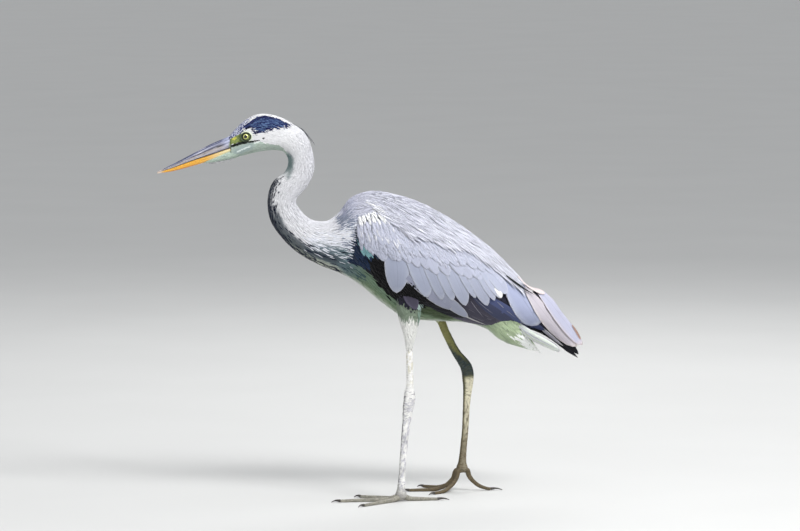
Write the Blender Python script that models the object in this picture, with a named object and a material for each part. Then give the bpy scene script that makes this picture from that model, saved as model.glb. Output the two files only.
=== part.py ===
"""Grey heron, life size, standing with its neck in a loose S and its right heel lifted for a slow step.

The bird faces -X, its left side is towards -Y and +Z is up. The floor is at z = 0. Tables are in
millimetres. Head, neck, trunk and tail are lofts whose sections run from a point on the back to a point on
the belly. Each folded wing is a shell over the trunk. Legs, toes and claws are lofts along their own lines.
Pieces that touch are parted by a narrow gap.
"""
import math

import bmesh
import bpy
import numpy as np

MM = 0.001
GAP = 0.4 * MM               # between pieces that touch
FOOT_SPREAD = 45             # each foot's distance from the plane of symmetry
HIP_SPREAD = 32              # the same at the top of the thigh
LEFT_FOOT = (37.5, 8.5)      # x and height of the middle of the foot, where the toes meet
RIGHT_FOOT = (151.5, 36)
LANDING = (12, 55)           # how far from that middle the left and the right toes reach the floor
TOES_OUT = (-2.3, 3.4)       # degrees that the left and the right foot turn outwards
EYE_RADIUS = 6.1
EYE_CENTRE = (-200.0, 12.6, 569.0)
WING_EDGE = 1.5              # least thickness at the border of a wing
BODY_SIDES = 18              # points round a section of head, neck and trunk
WING_SIDES = 8               # points from the top to the bottom of a wing's section
BILL_SIDES = 12
LIMB_SIDES = 8
BODY_STEPS = 4               # rings from one section of a table to the next

# Sections as (back x, back z, belly x, belly z, half width, pear). A positive pear narrows the back.
HEAD = [
    (-224, 569, -222, 535, 11.2, 0.10),    # feather line behind the bill
    (-204, 589.5, -205, 538.5, 16.8, 0.14),  # eye
    (-175, 603, -176, 545, 19.8, 0.12),    # crown
    (-138, 595, -148, 546.5, 20.4, 0.06),
    (-121, 585.5, -139, 544, 20, 0.03),    # nape
]
NECK = [
    (-108.5, 576, -134, 538, 19.2, 0),     # throat turns down
    (-94, 545, -132, 524, 18, 0),
    (-91.5, 515, -138, 511.5, 17.8, 0),
    (-101.5, 491.5, -155, 498, 18, 0),
    (-120, 467.5, -164, 466, 18.5, 0),     # kink
    (-112, 452, -160, 439, 19.2, 0),
    (-95, 438, -142.5, 411.5, 20.5, 0),
    (-69.5, 436, -115, 385.5, 23.5, 0),
    (-50.5, 449.5, -82, 367, 29.5, -0.04),  # lower neck widens
]
TRUNK = [
    (-33, 471, -49, 353.5, 38, -0.08),     # shoulder
    (-2, 481, -20, 335.5, 47.5, -0.12),    # breast
    (38, 475, 12, 309, 53, -0.12),
    (82, 459.5, 52, 282.5, 54.5, -0.10),   # belly
    (126, 435, 103, 276, 53, -0.06),
    (171, 403.5, 157, 271, 46, 0),
    (188.5, 384.5, 181, 262, 40.5, 0),
    (203, 354.5, 200, 246.5, 34, 0),       # rump
    (232, 284.5, 240, 231.5, 21, 0),
    (261, 232, 264, 225.5, 7, 0),          # feathers under the tail
]
TAIL = [
    (203, 307, 198, 272.5, 20, 0),
    (251, 260.5, 248, 244.5, 24, 0),
    (293, 235, 290.5, 225, 22.5, 0),
    (302.5, 227, 301.5, 221, 13, 0),
]
CHIN = [
    (-265, 530.5, -265, 527.5, 1.5, 0),
    (-241.5, 542, -240.5, 530.5, 7, 0),
    (-224, 550, -222.5, 533.5, 9.6, 0),
    (-212, 553, -211, 537, 10.5, 0),
]
CREST = [
    (-110, 577, -112.5, 572.5, 5, 0),
    (-95.5, 566, -98, 562, 3.2, 0),
    (-91, 560, -92.5, 558.5, 1.2, 0),
]
# Bill sections as (culmen x, z, gape x, z, lower edge x, z, half width).
BILL = [
    (-224.1, 569, -223.3, 551.5, -222.7, 541, 10.3),
    (-254, 556.5, -253, 541.5, -252, 532, 7.8),
    (-285, 540.5, -284.5, 531.5, -283.5, 523, 5.5),
    (-316, 525, -315.5, 520.5, -315, 515.5, 3),
    (-336, 515.2, -336, 514.2, -335.8, 512.8, 0.8),
]
# Folded wing as (back x, back z, belly x, belly z, half width of the body, of the wing, top share, bottom share).
# The shares say how far down each section, from back to belly, the wing begins and ends.
WING = [
    (-28, 475, -43, 349, 40, 45.5, 0.26, 0.50),   # wrist
    (-2, 481, -20, 335.5, 47.5, 59, 0.21, 0.80),
    (38, 475, 12, 309, 53, 68, 0.19, 0.92),
    (82, 459.5, 52, 282.5, 54.5, 71, 0.17, 0.85),
    (126, 435, 103, 276, 53, 70, 0.14, 0.84),
    (171, 403, 158, 270, 46, 64, 0.06, 0.97),
    (192, 386, 182, 263, 40, 58.5, 0.02, 1),
    (230, 347.5, 224, 265, 30, 46.5, 0, 1),       # longest inner feathers
    (248, 328.5, 245, 262, 24, 40.5, 0, 1),
    (275, 320, 264, 257, 20, 33, 0, 1),
    (306, 281.5, 293, 237.5, 13, 21.5, 0, 1),
    (330, 249.5, 317, 219.5, 8, 12, 0, 1),
    (336, 233.5, 327.5, 214, 5, 8, 0, 1),
    (334.5, 222, 330.5, 211.5, 3, 4.5, 0, 1),     # tips of the flight feathers
]
# Legs as (x, z, distance from the plane of symmetry, half depth, half width).
LEFT_THIGH = [
    (53, 306, HIP_SPREAD, 20.5, 18),
    (52, 285, 35, 16.3, 14.5),
    (52.5, 264, 39, 11.2, 10),
    (52, 251.5, 41, 8.2, 7.6),
    (51.5, 240.5, 42, 6.4, 6),
]
LEFT_SHANK = [
    (51.5, 240.5, 42, 5.5, 5),
    (51.5, 220.5, 44, 5.2, 4.7),
    (51.5, 202, FOOT_SPREAD, 5.4, 4.8),
    (51.5, 177, FOOT_SPREAD, 6.2, 5.5),
]
LEFT_TARSUS = [
    (51.5, 177, FOOT_SPREAD, 6.6, 5.8),
    (51, 169, FOOT_SPREAD, 8.4, 7),
    (51.3, 161, FOOT_SPREAD, 9.1, 7.5),    # ankle
    (49.5, 151, FOOT_SPREAD, 8.7, 7),
    (48.3, 142.5, FOOT_SPREAD, 7.9, 6.2),
    (46.8, 127, FOOT_SPREAD, 6.8, 5.4),
    (43.5, 95.5, FOOT_SPREAD, 5.6, 4.7),
    (40.8, 64.5, FOOT_SPREAD, 5.3, 4.5),
    (39, 33, FOOT_SPREAD, 5.5, 5),
    (37.8, 17, FOOT_SPREAD, 6.6, 6.8),
    (*LEFT_FOOT, FOOT_SPREAD, 8.2, 8.2),
    (37.5, 1.2, FOOT_SPREAD, 7.8, 7.8),
]
RIGHT_THIGH = [
    (100.5, 292.5, HIP_SPREAD, 13, 12.5),
    (105.5, 288, 34, 12, 11.5),
    (110.5, 282.5, 37, 10.5, 10),
    (116, 273, 40, 7.8, 7.5),
]
RIGHT_SHANK = [
    (116, 273, 40, 6.8, 6),
    (123, 256.5, 42, 6.3, 5.5),
    (131, 240.5, 44, 6.4, 5.4),
    (138.5, 226, FOOT_SPREAD, 6.5, 5.5),
    (144.5, 216.5, FOOT_SPREAD, 6.9, 5.8),
]
RIGHT_TARSUS = [
    (144.5, 216.5, FOOT_SPREAD, 7.2, 6),
    (151.3, 207.5, FOOT_SPREAD, 8.2, 7),
    (157, 199, FOOT_SPREAD, 9.2, 7.5),     # ankle
    (160, 190, FOOT_SPREAD, 9.5, 7.5),
    (160.8, 180, FOOT_SPREAD, 9.2, 7.1),
    (160.8, 170, FOOT_SPREAD, 8.2, 6.4),
    (160, 158, FOOT_SPREAD, 6.9, 5.6),
    (158.8, 142, FOOT_SPREAD, 5.9, 4.9),
    (156.5, 97, FOOT_SPREAD, 5.2, 4.5),
    (153, 60, FOOT_SPREAD, 5.5, 5),
    (151.8, 44.5, FOOT_SPREAD, 6.6, 6.8),
    (*RIGHT_FOOT, FOOT_SPREAD, 8.2, 8.2),
    (151.3, 29, FOOT_SPREAD, 7.4, 7.4),
]
# Toes as (name, degrees outwards from straight ahead, length, claw length).
TOES = (
    ("inner", -36, 64, 12),
    ("middle", 1, 88, 14),
    ("outer", 38, 75, 12),
    ("hind", 180, 50, 19),
)
TOE_START = 7                # from the middle of the foot
TOE_RADII = (4.2, 2.7)       # at its thick end and at its claw
TOE_RINGS = 7
CLAW_RADII = (2.4, 0.4)
CLAW_RINGS = 5


def paint(name, colour, roughness=0.7):
    """A plain material of one colour."""
    material = bpy.data.materials.new(name)
    material.use_nodes = True
    shader = material.node_tree.nodes["Principled BSDF"]
    shader.inputs["Base Color"].default_value = (*colour, 1.0)
    shader.inputs["Roughness"].default_value = roughness
    return material


def metres(rows, lengths):
    """A table whose first columns, as many as lengths says, become metres."""
    table = np.array(rows, float)
    table[:, :lengths] *= MM
    return table


def smooth(table, parts):
    """The rows with parts - 1 new ones in each gap, on cubics whose slopes come from the neighbours."""
    middle = (table[:, 0:2] + table[:, 2:4]) / 2
    steps = np.linalg.norm(np.diff(middle, axis=0), axis=1)
    slope = np.gradient(table, np.concatenate([[0.0], np.cumsum(steps)]), axis=0)
    made = []
    for i, step in enumerate(steps):
        for t in np.arange(parts) / parts:
            ease = t * t * (3 - 2 * t)
            leave, arrive = t * (1 - t) ** 2 * step, t * t * (t - 1) * step
            made.append((1 - ease) * table[i] + ease * table[i + 1] + leave * slope[i] + arrive * slope[i + 1])
    return np.array([*made, table[-1]])


def solid(name, rings, material):
    """A closed solid through rings that all have the same number of points."""
    count, sides = rings.shape[:2]
    faces = [tuple(range(sides)), tuple(range((count - 1) * sides, count * sides))]
    for i in range(count - 1):
        for k in range(sides):
            n = (k + 1) % sides
            faces.append((i * sides + k, i * sides + n, (i + 1) * sides + n, (i + 1) * sides + k))
    mesh = bpy.data.meshes.new(name)
    mesh.from_pydata([tuple(p) for p in rings.reshape(-1, 3)], [], faces)
    shape = bmesh.new()
    shape.from_mesh(mesh)
    bmesh.ops.recalc_face_normals(shape, faces=shape.faces)
    shape.to_mesh(mesh)
    shape.free()
    mesh.materials.append(material)
    mesh.shade_smooth()
    obj = bpy.data.objects.new(name, mesh)
    PARTS.objects.link(obj)
    return obj


def sections(table):
    """Each section's middle, its half length and the direction from belly to back, in the XZ plane."""
    back, belly = table[:, 0:2], table[:, 2:4]
    half = np.linalg.norm(back - belly, axis=1) / 2
    return (back + belly) / 2, half, (back - belly) / (2 * half[:, None])


def ahead_of(lift):
    """The direction square to a section that leads from bill to tail."""
    return np.array([lift[1], -lift[0]])


def midline(name, table, material, sides=BODY_SIDES, grow=0.0):
    """A loft in the plane of symmetry. grow moves its whole surface out."""
    middle, half, lift = sections(table)
    if grow:
        middle[0] -= grow * ahead_of(lift[0])
        middle[-1] += grow * ahead_of(lift[-1])
    turn = 2 * math.pi * np.arange(sides) / sides
    up = (half[:, None] + grow) * np.cos(turn)
    wide = (table[:, 4:5] + grow) * np.sin(turn) * (1 - table[:, 5:6] * np.cos(turn))
    points = middle[:, None] + up[..., None] * lift[:, None]
    return solid(name, np.stack([points[..., 0], wide, points[..., 1]], axis=2), material)


def parted(table, start, end):
    """Rows from start to end, with the first and last sections moved in by half the gap."""
    piece = table[start:end + 1].copy()
    lift = sections(piece)[2]
    piece[0, :4] += np.tile(ahead_of(lift[0]), 2) * GAP / 2
    piece[-1, :4] -= np.tile(ahead_of(lift[-1]), 2) * GAP / 2
    return piece


def helper(obj):
    """Keeps a cutter out of the model."""
    PARTS.objects.unlink(obj)
    CUTTERS.objects.link(obj)
    obj.hide_render = True
    obj.display_type = "WIRE"
    return obj


def combine(obj, other, operation):
    boolean = obj.modifiers.new(operation.lower(), "BOOLEAN")
    boolean.operation = operation
    boolean.solver = "EXACT"
    boolean.object = other


def make_body():
    """Head, three lengths of neck and trunk, parted from one set of sections, and tail and crest cut to fit."""
    table = smooth(metres(HEAD + NECK + TRUNK, 5), BODY_STEPS)
    nape = (len(HEAD) - 1) * BODY_STEPS
    shoulder = (len(HEAD) + len(NECK) - 1) * BODY_STEPS
    cuts = (0, nape, nape + 3 * BODY_STEPS, nape + 6 * BODY_STEPS, shoulder, len(table) - 1)
    names = ("head", "neck_upper", "neck_middle", "neck_lower", "trunk")
    for name, start, end in zip(names, cuts, cuts[1:]):
        midline(name, parted(table, start, end), WHITE if name == "head" else GREY)
    chin = helper(midline("chin", smooth(metres(CHIN, 5), 2), WHITE, sides=BILL_SIDES))
    head = bpy.data.objects["head"]
    combine(head, chin, "UNION")
    whole = helper(midline("whole_body", table, GREY, grow=GAP))
    tail_table = smooth(metres(TAIL, 5), 3)
    combine(midline("tail", tail_table, GREY, sides=16), whole, "DIFFERENCE")
    wide_tail = helper(midline("wide_tail", tail_table, GREY, sides=16, grow=GAP))
    combine(midline("crest", smooth(metres(CREST, 5), 2), SLATE, sides=LIMB_SIDES), whole, "DIFFERENCE")
    return head, whole, wide_tail


def make_wings(whole, wide_tail):
    """Each wing's section is an arc that bulges beyond the body's own ellipse, closed on its inner side."""
    table = smooth(metres(WING, 6), 2)
    middle, half, lift = sections(table)
    body_wide, wing_wide, top, bottom = (table[:, k:k + 1] for k in range(4, 8))
    edge = WING_EDGE * MM
    span = np.linspace(0, 1, WING_SIDES)
    share = top + (bottom - top) * (1 - np.cos(math.pi * span)) / 2
    turn = np.arccos(np.clip(1 - 2 * share, -1, 1))
    # Behind the breast the shell closes inwards until the two wings meet behind the rump.
    rear = np.clip(table[:, 0:1] / 0.2, 0, 1)
    width = body_wide + edge + (wing_wide - body_wide - edge) * np.sin(math.pi * span) ** 0.5
    outer_wide = np.maximum(width * np.sin(turn) * (1 + 0.1 * (1 - rear) * np.cos(turn)), GAP / 2 + edge)
    outer_up = half[:, None] * np.cos(turn)
    inner_wide = np.maximum(outer_wide * 0.62 - 0.022 * rear ** 2, GAP / 2)
    inner_up = outer_up * (0.80 + 0.19 * rear)
    up = np.concatenate([outer_up, inner_up[:, ::-1]], axis=1)
    wide = np.concatenate([outer_wide, inner_wide[:, ::-1]], axis=1)
    points = middle[:, None] + up[..., None] * lift[:, None]
    for name, side in (("wing_left", -1), ("wing_right", 1)):
        wing = solid(name, np.stack([points[..., 0], side * wide, points[..., 1]], axis=2), BLUE_GREY)
        combine(wing, whole, "DIFFERENCE")
        combine(wing, wide_tail, "DIFFERENCE")


def ball(name, centre, radius, material):
    bpy.ops.mesh.primitive_uv_sphere_add(segments=14, ring_count=7, radius=radius, location=centre)
    obj = bpy.context.object
    obj.name = name
    for other in list(obj.users_collection):
        other.objects.unlink(obj)
    PARTS.objects.link(obj)
    obj.data.materials.append(material)
    obj.data.shade_smooth()
    return obj


def make_eyes(head):
    x, y, z = (value * MM for value in EYE_CENTRE)
    for name, side in (("eye_left", -1), ("eye_right", 1)):
        ball(name, (x, side * y, z), EYE_RADIUS * MM, YELLOW)
        socket = helper(ball(name + "_socket", (x, side * y, z), EYE_RADIUS * MM + GAP, YELLOW))
        combine(head, socket, "DIFFERENCE")


def make_bill():
    """Two halves that meet along the gape. The lower one makes room for the feathers of the chin."""
    table = metres(BILL, 7)
    apart = np.array([0.0, GAP / 2])
    round_section = np.zeros((len(table), 1))
    upper = np.hstack([table[:, 0:2], table[:, 2:4] + apart, table[:, 6:7], round_section])
    lower = np.hstack([table[:, 2:4] - apart, table[:, 4:6], table[:, 6:7] * 0.94, round_section])
    midline("bill_upper", smooth(upper, 2), DARK_HORN, sides=BILL_SIDES)
    bill_lower = midline("bill_lower", smooth(lower, 2), ORANGE, sides=BILL_SIDES)
    wide_chin = helper(midline("wide_chin", smooth(metres(CHIN, 5), 2), WHITE, sides=BILL_SIDES, grow=GAP))
    combine(bill_lower, wide_chin, "DIFFERENCE")


def limb(name, side, table, material, grow=0.0):
    """A tube along a leg. The last two columns of its table are the leg's direction there."""
    turn = 2 * math.pi * np.arange(LIMB_SIDES) / LIMB_SIDES
    deep = (table[:, 3:4] + grow) * np.cos(turn)
    wide = (table[:, 4:5] + grow) * np.sin(turn)
    x = table[:, 0:1] - deep * table[:, 6:7]
    z = table[:, 1:2] + deep * table[:, 5:6]
    return solid(name, np.stack([x, side * table[:, 2:3] + wide, z], axis=2), material)


def make_leg(name, side, thigh, shank, tarsus, whole):
    """Three lengths with parallel ends. Returns the foot of the tarsus, grown by the gap."""
    line = metres([*thigh, *shank[1:], *tarsus[1:]], 5)[:, :2]
    lean = np.gradient(line, axis=0)
    lean /= np.linalg.norm(lean, axis=1)[:, None]
    start = 0
    for part, rows, colour in (("thigh", thigh, WHITE), ("shank", shank, LEG), ("tarsus", tarsus, LEG)):
        table = np.hstack([metres(rows, 5), lean[start:start + len(rows)]])
        start += len(rows) - 1
        table[0, :2] += table[0, 5:7] * GAP / 2
        table[-1, :2] -= table[-1, 5:7] * GAP / 2
        piece = limb(f"{part}_{name}", side, table, colour)
        if part == "thigh":
            combine(piece, whole, "DIFFERENCE")
    foot = table[-5:]
    foot[-1, 1] -= GAP
    return helper(limb(f"wide_tarsus_{name}", side, foot, LEG, grow=GAP))


def make_foot(name, side, middle, landing, toes_out, wide_tarsus):
    """Four toes round the foot of the tarsus, each with a claw."""
    x, lift = (value * MM for value in middle)
    root = np.array([x, side * FOOT_SPREAD * MM, 0.0])
    rest = LEFT_FOOT[1] * MM
    for toe, heading, length, claw in TOES:
        angle = math.radians(heading + toes_out)
        ahead = np.array([-math.cos(angle), side * math.sin(angle), 0.0])
        across = np.cross((0, 0, 1), ahead)
        share = np.linspace(0, 1, TOE_RINGS)
        thick, thin = TOE_RADII
        radius = MM * (thick + (thin - thick) * share) * (1 - 0.5 * np.exp(-share * length / 6))
        fall = np.clip(share * length / landing, 0, 1)
        height = radius * 0.8 + (lift - rest + 0.002) * (1 - fall) ** 2
        flat_run = (length * MM / (TOE_RINGS - 1)) ** 2 - np.diff(height) ** 2
        run = TOE_START * MM + np.concatenate([[0.0], np.cumsum(np.sqrt(np.maximum(flat_run, 1e-7)))])
        centres = root + run[:, None] * ahead + height[:, None] * (0, 0, 1)
        toe_piece = tapered(f"toe_{toe}_{name}", centres, radius, across, -1, LEG)
        combine(toe_piece, wide_tarsus, "DIFFERENCE")
        make_claw(f"claw_{toe}_{name}", centres[-1] + ahead * GAP, ahead, across, claw * MM)


def make_claw(name, root, ahead, across, length):
    """A horn that bends down to the floor and ends in a blunt point."""
    share = np.linspace(0, 1, CLAW_RINGS)
    thick, thin = CLAW_RADII
    radius = MM * (thick + (thin - thick) * share)
    height = root[2] * (1 - share ** 2) + radius * 0.9 * share ** 2 + 0.001 * np.sin(share * math.pi)
    centres = root * (1, 1, 0) + (share * length)[:, None] * ahead + height[:, None] * (0, 0, 1)
    tapered(name, centres, radius, across, 0, CLAW)


def tapered(name, centres, radius, across, upright, material):
    """A round loft with its underside flat where it meets the floor. Its upright section stands on the floor."""
    along = np.gradient(centres, axis=0)
    above = np.cross(along, across)
    above /= np.linalg.norm(above, axis=1)[:, None]
    above[upright] = (0, 0, 1)
    turn = 2 * math.pi * (np.arange(LIMB_SIDES) + 0.5) / LIMB_SIDES
    up = (radius[:, None] * np.cos(turn))[..., None] * above[:, None]
    wide = (radius[:, None] * np.sin(turn))[..., None] * across
    rings = centres[:, None] + up + wide
    rings[..., 2] = np.maximum(rings[..., 2], 0.0)
    return solid(name, rings, material)


def main():
    head, whole, wide_tail = make_body()
    make_eyes(head)
    make_bill()
    make_wings(whole, wide_tail)
    left = make_leg("left", -1, LEFT_THIGH, LEFT_SHANK, LEFT_TARSUS, whole)
    right = make_leg("right", 1, RIGHT_THIGH, RIGHT_SHANK, RIGHT_TARSUS, whole)
    make_foot("left", -1, LEFT_FOOT, LANDING[0], TOES_OUT[0], left)
    make_foot("right", 1, RIGHT_FOOT, LANDING[1], TOES_OUT[1], right)


for old in list(bpy.data.objects):
    bpy.data.objects.remove(old)
PARTS = bpy.data.collections.new("grey_heron")
CUTTERS = bpy.data.collections.new("cutters")
for group in (PARTS, CUTTERS):
    bpy.context.scene.collection.children.link(group)
GREY = paint("pale_grey_feather", (0.62, 0.63, 0.68))
WHITE = paint("white_feather", (0.82, 0.82, 0.82))
BLUE_GREY = paint("wing_grey", (0.42, 0.45, 0.53))
SLATE = paint("slate_feather", (0.04, 0.05, 0.09))
YELLOW = paint("iris", (0.85, 0.70, 0.15), 0.15)
DARK_HORN = paint("bill_grey", (0.13, 0.14, 0.18), 0.4)
ORANGE = paint("bill_orange", (0.80, 0.45, 0.08), 0.4)
LEG = paint("leg_scale", (0.55, 0.52, 0.46), 0.6)
CLAW = paint("claw_horn", (0.09, 0.08, 0.08), 0.4)
main()
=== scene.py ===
"""Dresses the solids of a grey heron: one skin, coats of feather vanes, bill, eyes and claws, and a plain
stage.

The bird faces -X, its left side is towards -Y and +Z is up. Tables are in millimetres, everything else is in
metres. A surface is a row of sections, each running from a point on the back to a point on the belly. A place
on a surface is (s, a): s counts along the table's rows, and a is the angle round the section, 0 on the back,
pi on the belly and negative on the bird's left.
"""
import math

import bpy
import numpy as np
from bpy.props import FloatProperty, FloatVectorProperty, PointerProperty
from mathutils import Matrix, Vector


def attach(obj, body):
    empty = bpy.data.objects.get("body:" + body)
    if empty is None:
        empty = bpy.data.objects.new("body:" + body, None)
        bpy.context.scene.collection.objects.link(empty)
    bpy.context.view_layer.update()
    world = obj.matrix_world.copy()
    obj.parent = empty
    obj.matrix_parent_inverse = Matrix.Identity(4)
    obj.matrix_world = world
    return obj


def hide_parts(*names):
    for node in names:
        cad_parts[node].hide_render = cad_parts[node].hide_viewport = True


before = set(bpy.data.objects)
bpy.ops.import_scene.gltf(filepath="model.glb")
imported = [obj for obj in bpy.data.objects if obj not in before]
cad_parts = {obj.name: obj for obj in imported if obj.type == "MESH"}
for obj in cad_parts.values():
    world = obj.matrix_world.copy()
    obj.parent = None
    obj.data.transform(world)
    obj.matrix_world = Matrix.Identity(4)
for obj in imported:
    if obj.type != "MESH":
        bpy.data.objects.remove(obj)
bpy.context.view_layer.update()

bl_info = {
    "name": "Grey Heron",
    "version": (1, 0, 0),
    "blender": (4, 5, 0),
    "location": "3D View > Sidebar > Heron",
    "description": "Builds a grey heron's skin, feathers, bill, eyes and claws over its solids",
    "category": "Object",
}

MM = 0.001
ROOT = "root"
SIDES = {"left": -1, "right": 1}
PI = math.pi

# Head, neck and trunk as (back x, back z, belly x, belly z, half width, pear). A positive pear narrows the
# back.
BODY_ROWS = [
    (-224, 569, -222, 535, 11.2, 0.10),    # 0 feather line behind the bill
    (-204, 589.5, -205, 538.5, 16.8, 0.14),  # 1 eye
    (-175, 603, -176, 545, 19.8, 0.12),    # 2 crown
    (-138, 595, -148, 546.5, 20.4, 0.06),
    (-121, 585.5, -139, 544, 20, 0.03),    # 4 nape
    (-108.5, 576, -134, 538, 19.2, 0),     # 5 throat turns down
    (-94, 545, -132, 524, 18, 0),
    (-91.5, 515, -138, 511.5, 17.8, 0),
    (-101.5, 491.5, -155, 498, 18, 0),
    (-120, 467.5, -164, 466, 18.5, 0),     # 9 kink
    (-112, 452, -160, 439, 19.2, 0),
    (-95, 438, -142.5, 411.5, 20.5, 0),
    (-69.5, 436, -115, 385.5, 23.5, 0),
    (-50.5, 449.5, -82, 367, 29.5, -0.04),  # 13 lower neck widens
    (-33, 471, -49, 353.5, 38, -0.08),     # 14 shoulder
    (-2, 481, -20, 335.5, 47.5, -0.12),    # 15 breast
    (38, 475, 12, 309, 53, -0.12),
    (82, 459.5, 52, 282.5, 54.5, -0.10),   # 17 belly
    (126, 435, 103, 276, 53, -0.06),
    (171, 403.5, 157, 271, 46, 0),
    (188.5, 384.5, 181, 262, 40.5, 0),
    (203, 354.5, 200, 246.5, 34, 0),       # 21 rump
    (232, 284.5, 240, 231.5, 21, 0),
    (261, 232, 264, 225.5, 7, 0),          # 23 feathers under the tail
]
# Folded wing as (back x, back z, belly x, belly z, half width of the body, of the wing, top share, bottom
# share).
WING_ROWS = [
    (-28, 475, -43, 349, 40, 45.5, 0.26, 0.50),   # 0 wrist
    (-2, 481, -20, 335.5, 47.5, 59, 0.21, 0.80),
    (38, 475, 12, 309, 53, 68, 0.19, 0.92),
    (82, 459.5, 52, 282.5, 54.5, 71, 0.17, 0.85),
    (126, 435, 103, 276, 53, 70, 0.14, 0.84),
    (171, 403, 158, 270, 46, 64, 0.06, 0.97),
    (192, 386, 182, 263, 40, 58.5, 0.02, 1),
    (230, 347.5, 224, 265, 30, 46.5, 0, 1),       # 7 longest inner feathers
    (248, 328.5, 245, 262, 24, 40.5, 0, 1),
    (275, 320, 264, 257, 20, 33, 0, 1),
    (306, 281.5, 293, 237.5, 13, 21.5, 0, 1),
    (330, 249.5, 317, 219.5, 8, 12, 0, 1),
    (336, 233.5, 327.5, 214, 5, 8, 0, 1),
    (334.5, 222, 330.5, 211.5, 3, 4.5, 0, 1),     # 13 tips of the flight feathers
]
CHIN_ROWS = [
    (-265, 530.5, -265, 527.5, 1.5, 0),
    (-241.5, 542, -240.5, 530.5, 7, 0),
    (-224, 550, -222.5, 533.5, 9.6, 0),
    (-212, 553, -211, 537, 10.5, 0),
]
TAIL_ROWS = [
    (203, 307, 198, 272.5, 20, 0),
    (251, 260.5, 248, 244.5, 24, 0),
    (293, 235, 290.5, 225, 22.5, 0),
    (302.5, 227, 301.5, 221, 13, 0),
]
# Bill as (culmen x, z, gape x, z, lower edge x, z, half width).
BILL_ROWS = [
    (-224.1, 569, -223.3, 551.5, -222.7, 541, 10.3),
    (-254, 556.5, -253, 541.5, -252, 532, 7.8),
    (-285, 540.5, -284.5, 531.5, -283.5, 523, 5.5),
    (-316, 525, -315.5, 520.5, -315, 515.5, 3),
    (-336, 515.2, -336, 514.2, -335.8, 512.8, 0.8),
]
# Legs from hip to foot as (x, z, distance from the plane of symmetry, half depth, half width).
LEFT_LEG = [
    (61, 346, 22, 24, 22), (56, 323, 27, 22, 20.5), (53, 306, 32, 20.5, 18), (52, 285, 35, 16.3, 14.5),
    (52.5, 264, 39, 11.2, 10), (52, 251.5, 41, 8.2, 7.6), (51.5, 240.5, 42, 6.0, 5.6),
    (51.5, 220.5, 44, 5.2, 4.7), (51.5, 202, 45, 5.4, 4.8), (51.5, 177, 45, 6.4, 5.6), (51, 169, 45, 8.4, 7),
    (51.3, 161, 45, 9.1, 7.5), (49.5, 151, 45, 8.7, 7), (48.3, 142.5, 45, 7.9, 6.2),
    (46.8, 127, 45, 6.8, 5.4), (43.5, 95.5, 45, 5.6, 4.7), (40.8, 64.5, 45, 5.3, 4.5), (39, 33, 45, 5.5, 5),
    (37.8, 17, 45, 6.6, 6.8), (37.5, 8.5, 45, 8.2, 8.2), (37.5, 1.2, 45, 7.8, 7.8),
]
RIGHT_LEG = [
    (86, 336, 20, 16, 15), (94, 312, 27, 14, 13.5), (100.5, 292.5, 32, 13, 12.5), (105.5, 288, 34, 12, 11.5),
    (110.5, 282.5, 37, 10.5, 10), (116, 273, 40, 7.3, 6.8), (123, 256.5, 42, 6.3, 5.5),
    (131, 240.5, 44, 6.4, 5.4), (138.5, 226, 45, 6.5, 5.5), (144.5, 216.5, 45, 7, 5.9),
    (151.3, 207.5, 45, 8.2, 7), (157, 199, 45, 9.2, 7.5), (160, 190, 45, 9.5, 7.5),
    (160.8, 180, 45, 9.2, 7.1), (160.8, 170, 45, 8.2, 6.4), (160, 158, 45, 6.9, 5.6),
    (158.8, 142, 45, 5.9, 4.9), (156.5, 97, 45, 5.2, 4.5), (153, 60, 45, 5.5, 5), (151.8, 44.5, 45, 6.6, 6.8),
    (151.5, 36, 45, 8.2, 8.2), (151.3, 29, 45, 7.4, 7.4),
]
# Feet as (x and height of the middle, how far from it the toes reach the floor, degrees turned outwards).
FEET = {"left": (37.5, 8.5, 12, -2.3), "right": (151.5, 36, 55, 3.4)}
# Toes as (name, heading in degrees, length, claw's length).
TOES = (("inner", -36, 64, 12), ("middle", 1, 88, 14), ("outer", 38, 75, 12), ("hind", 180, 50, 19))
FOOT_SPREAD = 45             # each foot's distance from the plane of symmetry
TOE_START = 7                # from the foot's middle to a toe's first ring
TOE_RADIUS = (4.2, 2.7)      # at root and claw
CLAW_RADIUS = (2.4, 0.4)
FLOOR_GAP = 0.2              # between the floor and the lowest points of skin and claws
EYE_CENTRE = (-200.0, 12.6, 569.0)
EYE_RADIUS = 6.1
EYE_OVAL = (1.08, 0.94)      # how long and how high the lids' outline is, as shares of a circle
LID_REACH = (4.3, 9.2)       # from the eye's middle to the lids' edge, and to the end of the bare ring
SCALE_DEPTH = 0.28


def linear(*rgb):
    """A screen colour of 0 to 255 as linear light."""
    c = np.array(rgb, float) / 255
    return np.where(c <= 0.04045, c / 12.92, ((c + 0.055) / 1.055) ** 2.4)


def ramp(value, low, high):
    """0 below low, 1 above high, and a smooth step between."""
    t = np.clip((value - low) / (high - low), 0, 1)
    return t * t * (3 - 2 * t)


def over(colour, new, share):
    """colour with new laid over it, as much as share says."""
    share = np.asarray(share, float)[..., None]
    return colour * (1 - share) + new * share


def layered(colour, layers, places):
    """colour with layers laid over it in turn. A layer has a colour, a strength and cuts that weaken it, each
    one of: a quantity's name, with its values where the layer starts and where it is full, or alone where it
    is a share; "about", a quantity's name, a middle, and such values for the distance from it; "in" and a
    polygon; and "near", a line, and such values for the distance from it in millimetres. places holds the
    quantities."""
    for new, strength, *cuts in layers:
        share = strength
        for kind, *values in cuts:
            if kind == "in":
                share = share * inside(places["x"], places["z"], values[0])
            elif kind == "near":
                share = share * ramp(near_line(places["x"], places["z"], values[0]), *values[1:])
            elif kind == "about":
                share = share * ramp(np.abs(places[values[0]] - values[1]), *values[2:])
            elif values:
                share = share * ramp(places[kind], *values)
            else:
                share = share * places[kind]
        colour = over(colour, linear(*new) if isinstance(new, tuple) else new, share)
    return colour


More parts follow.
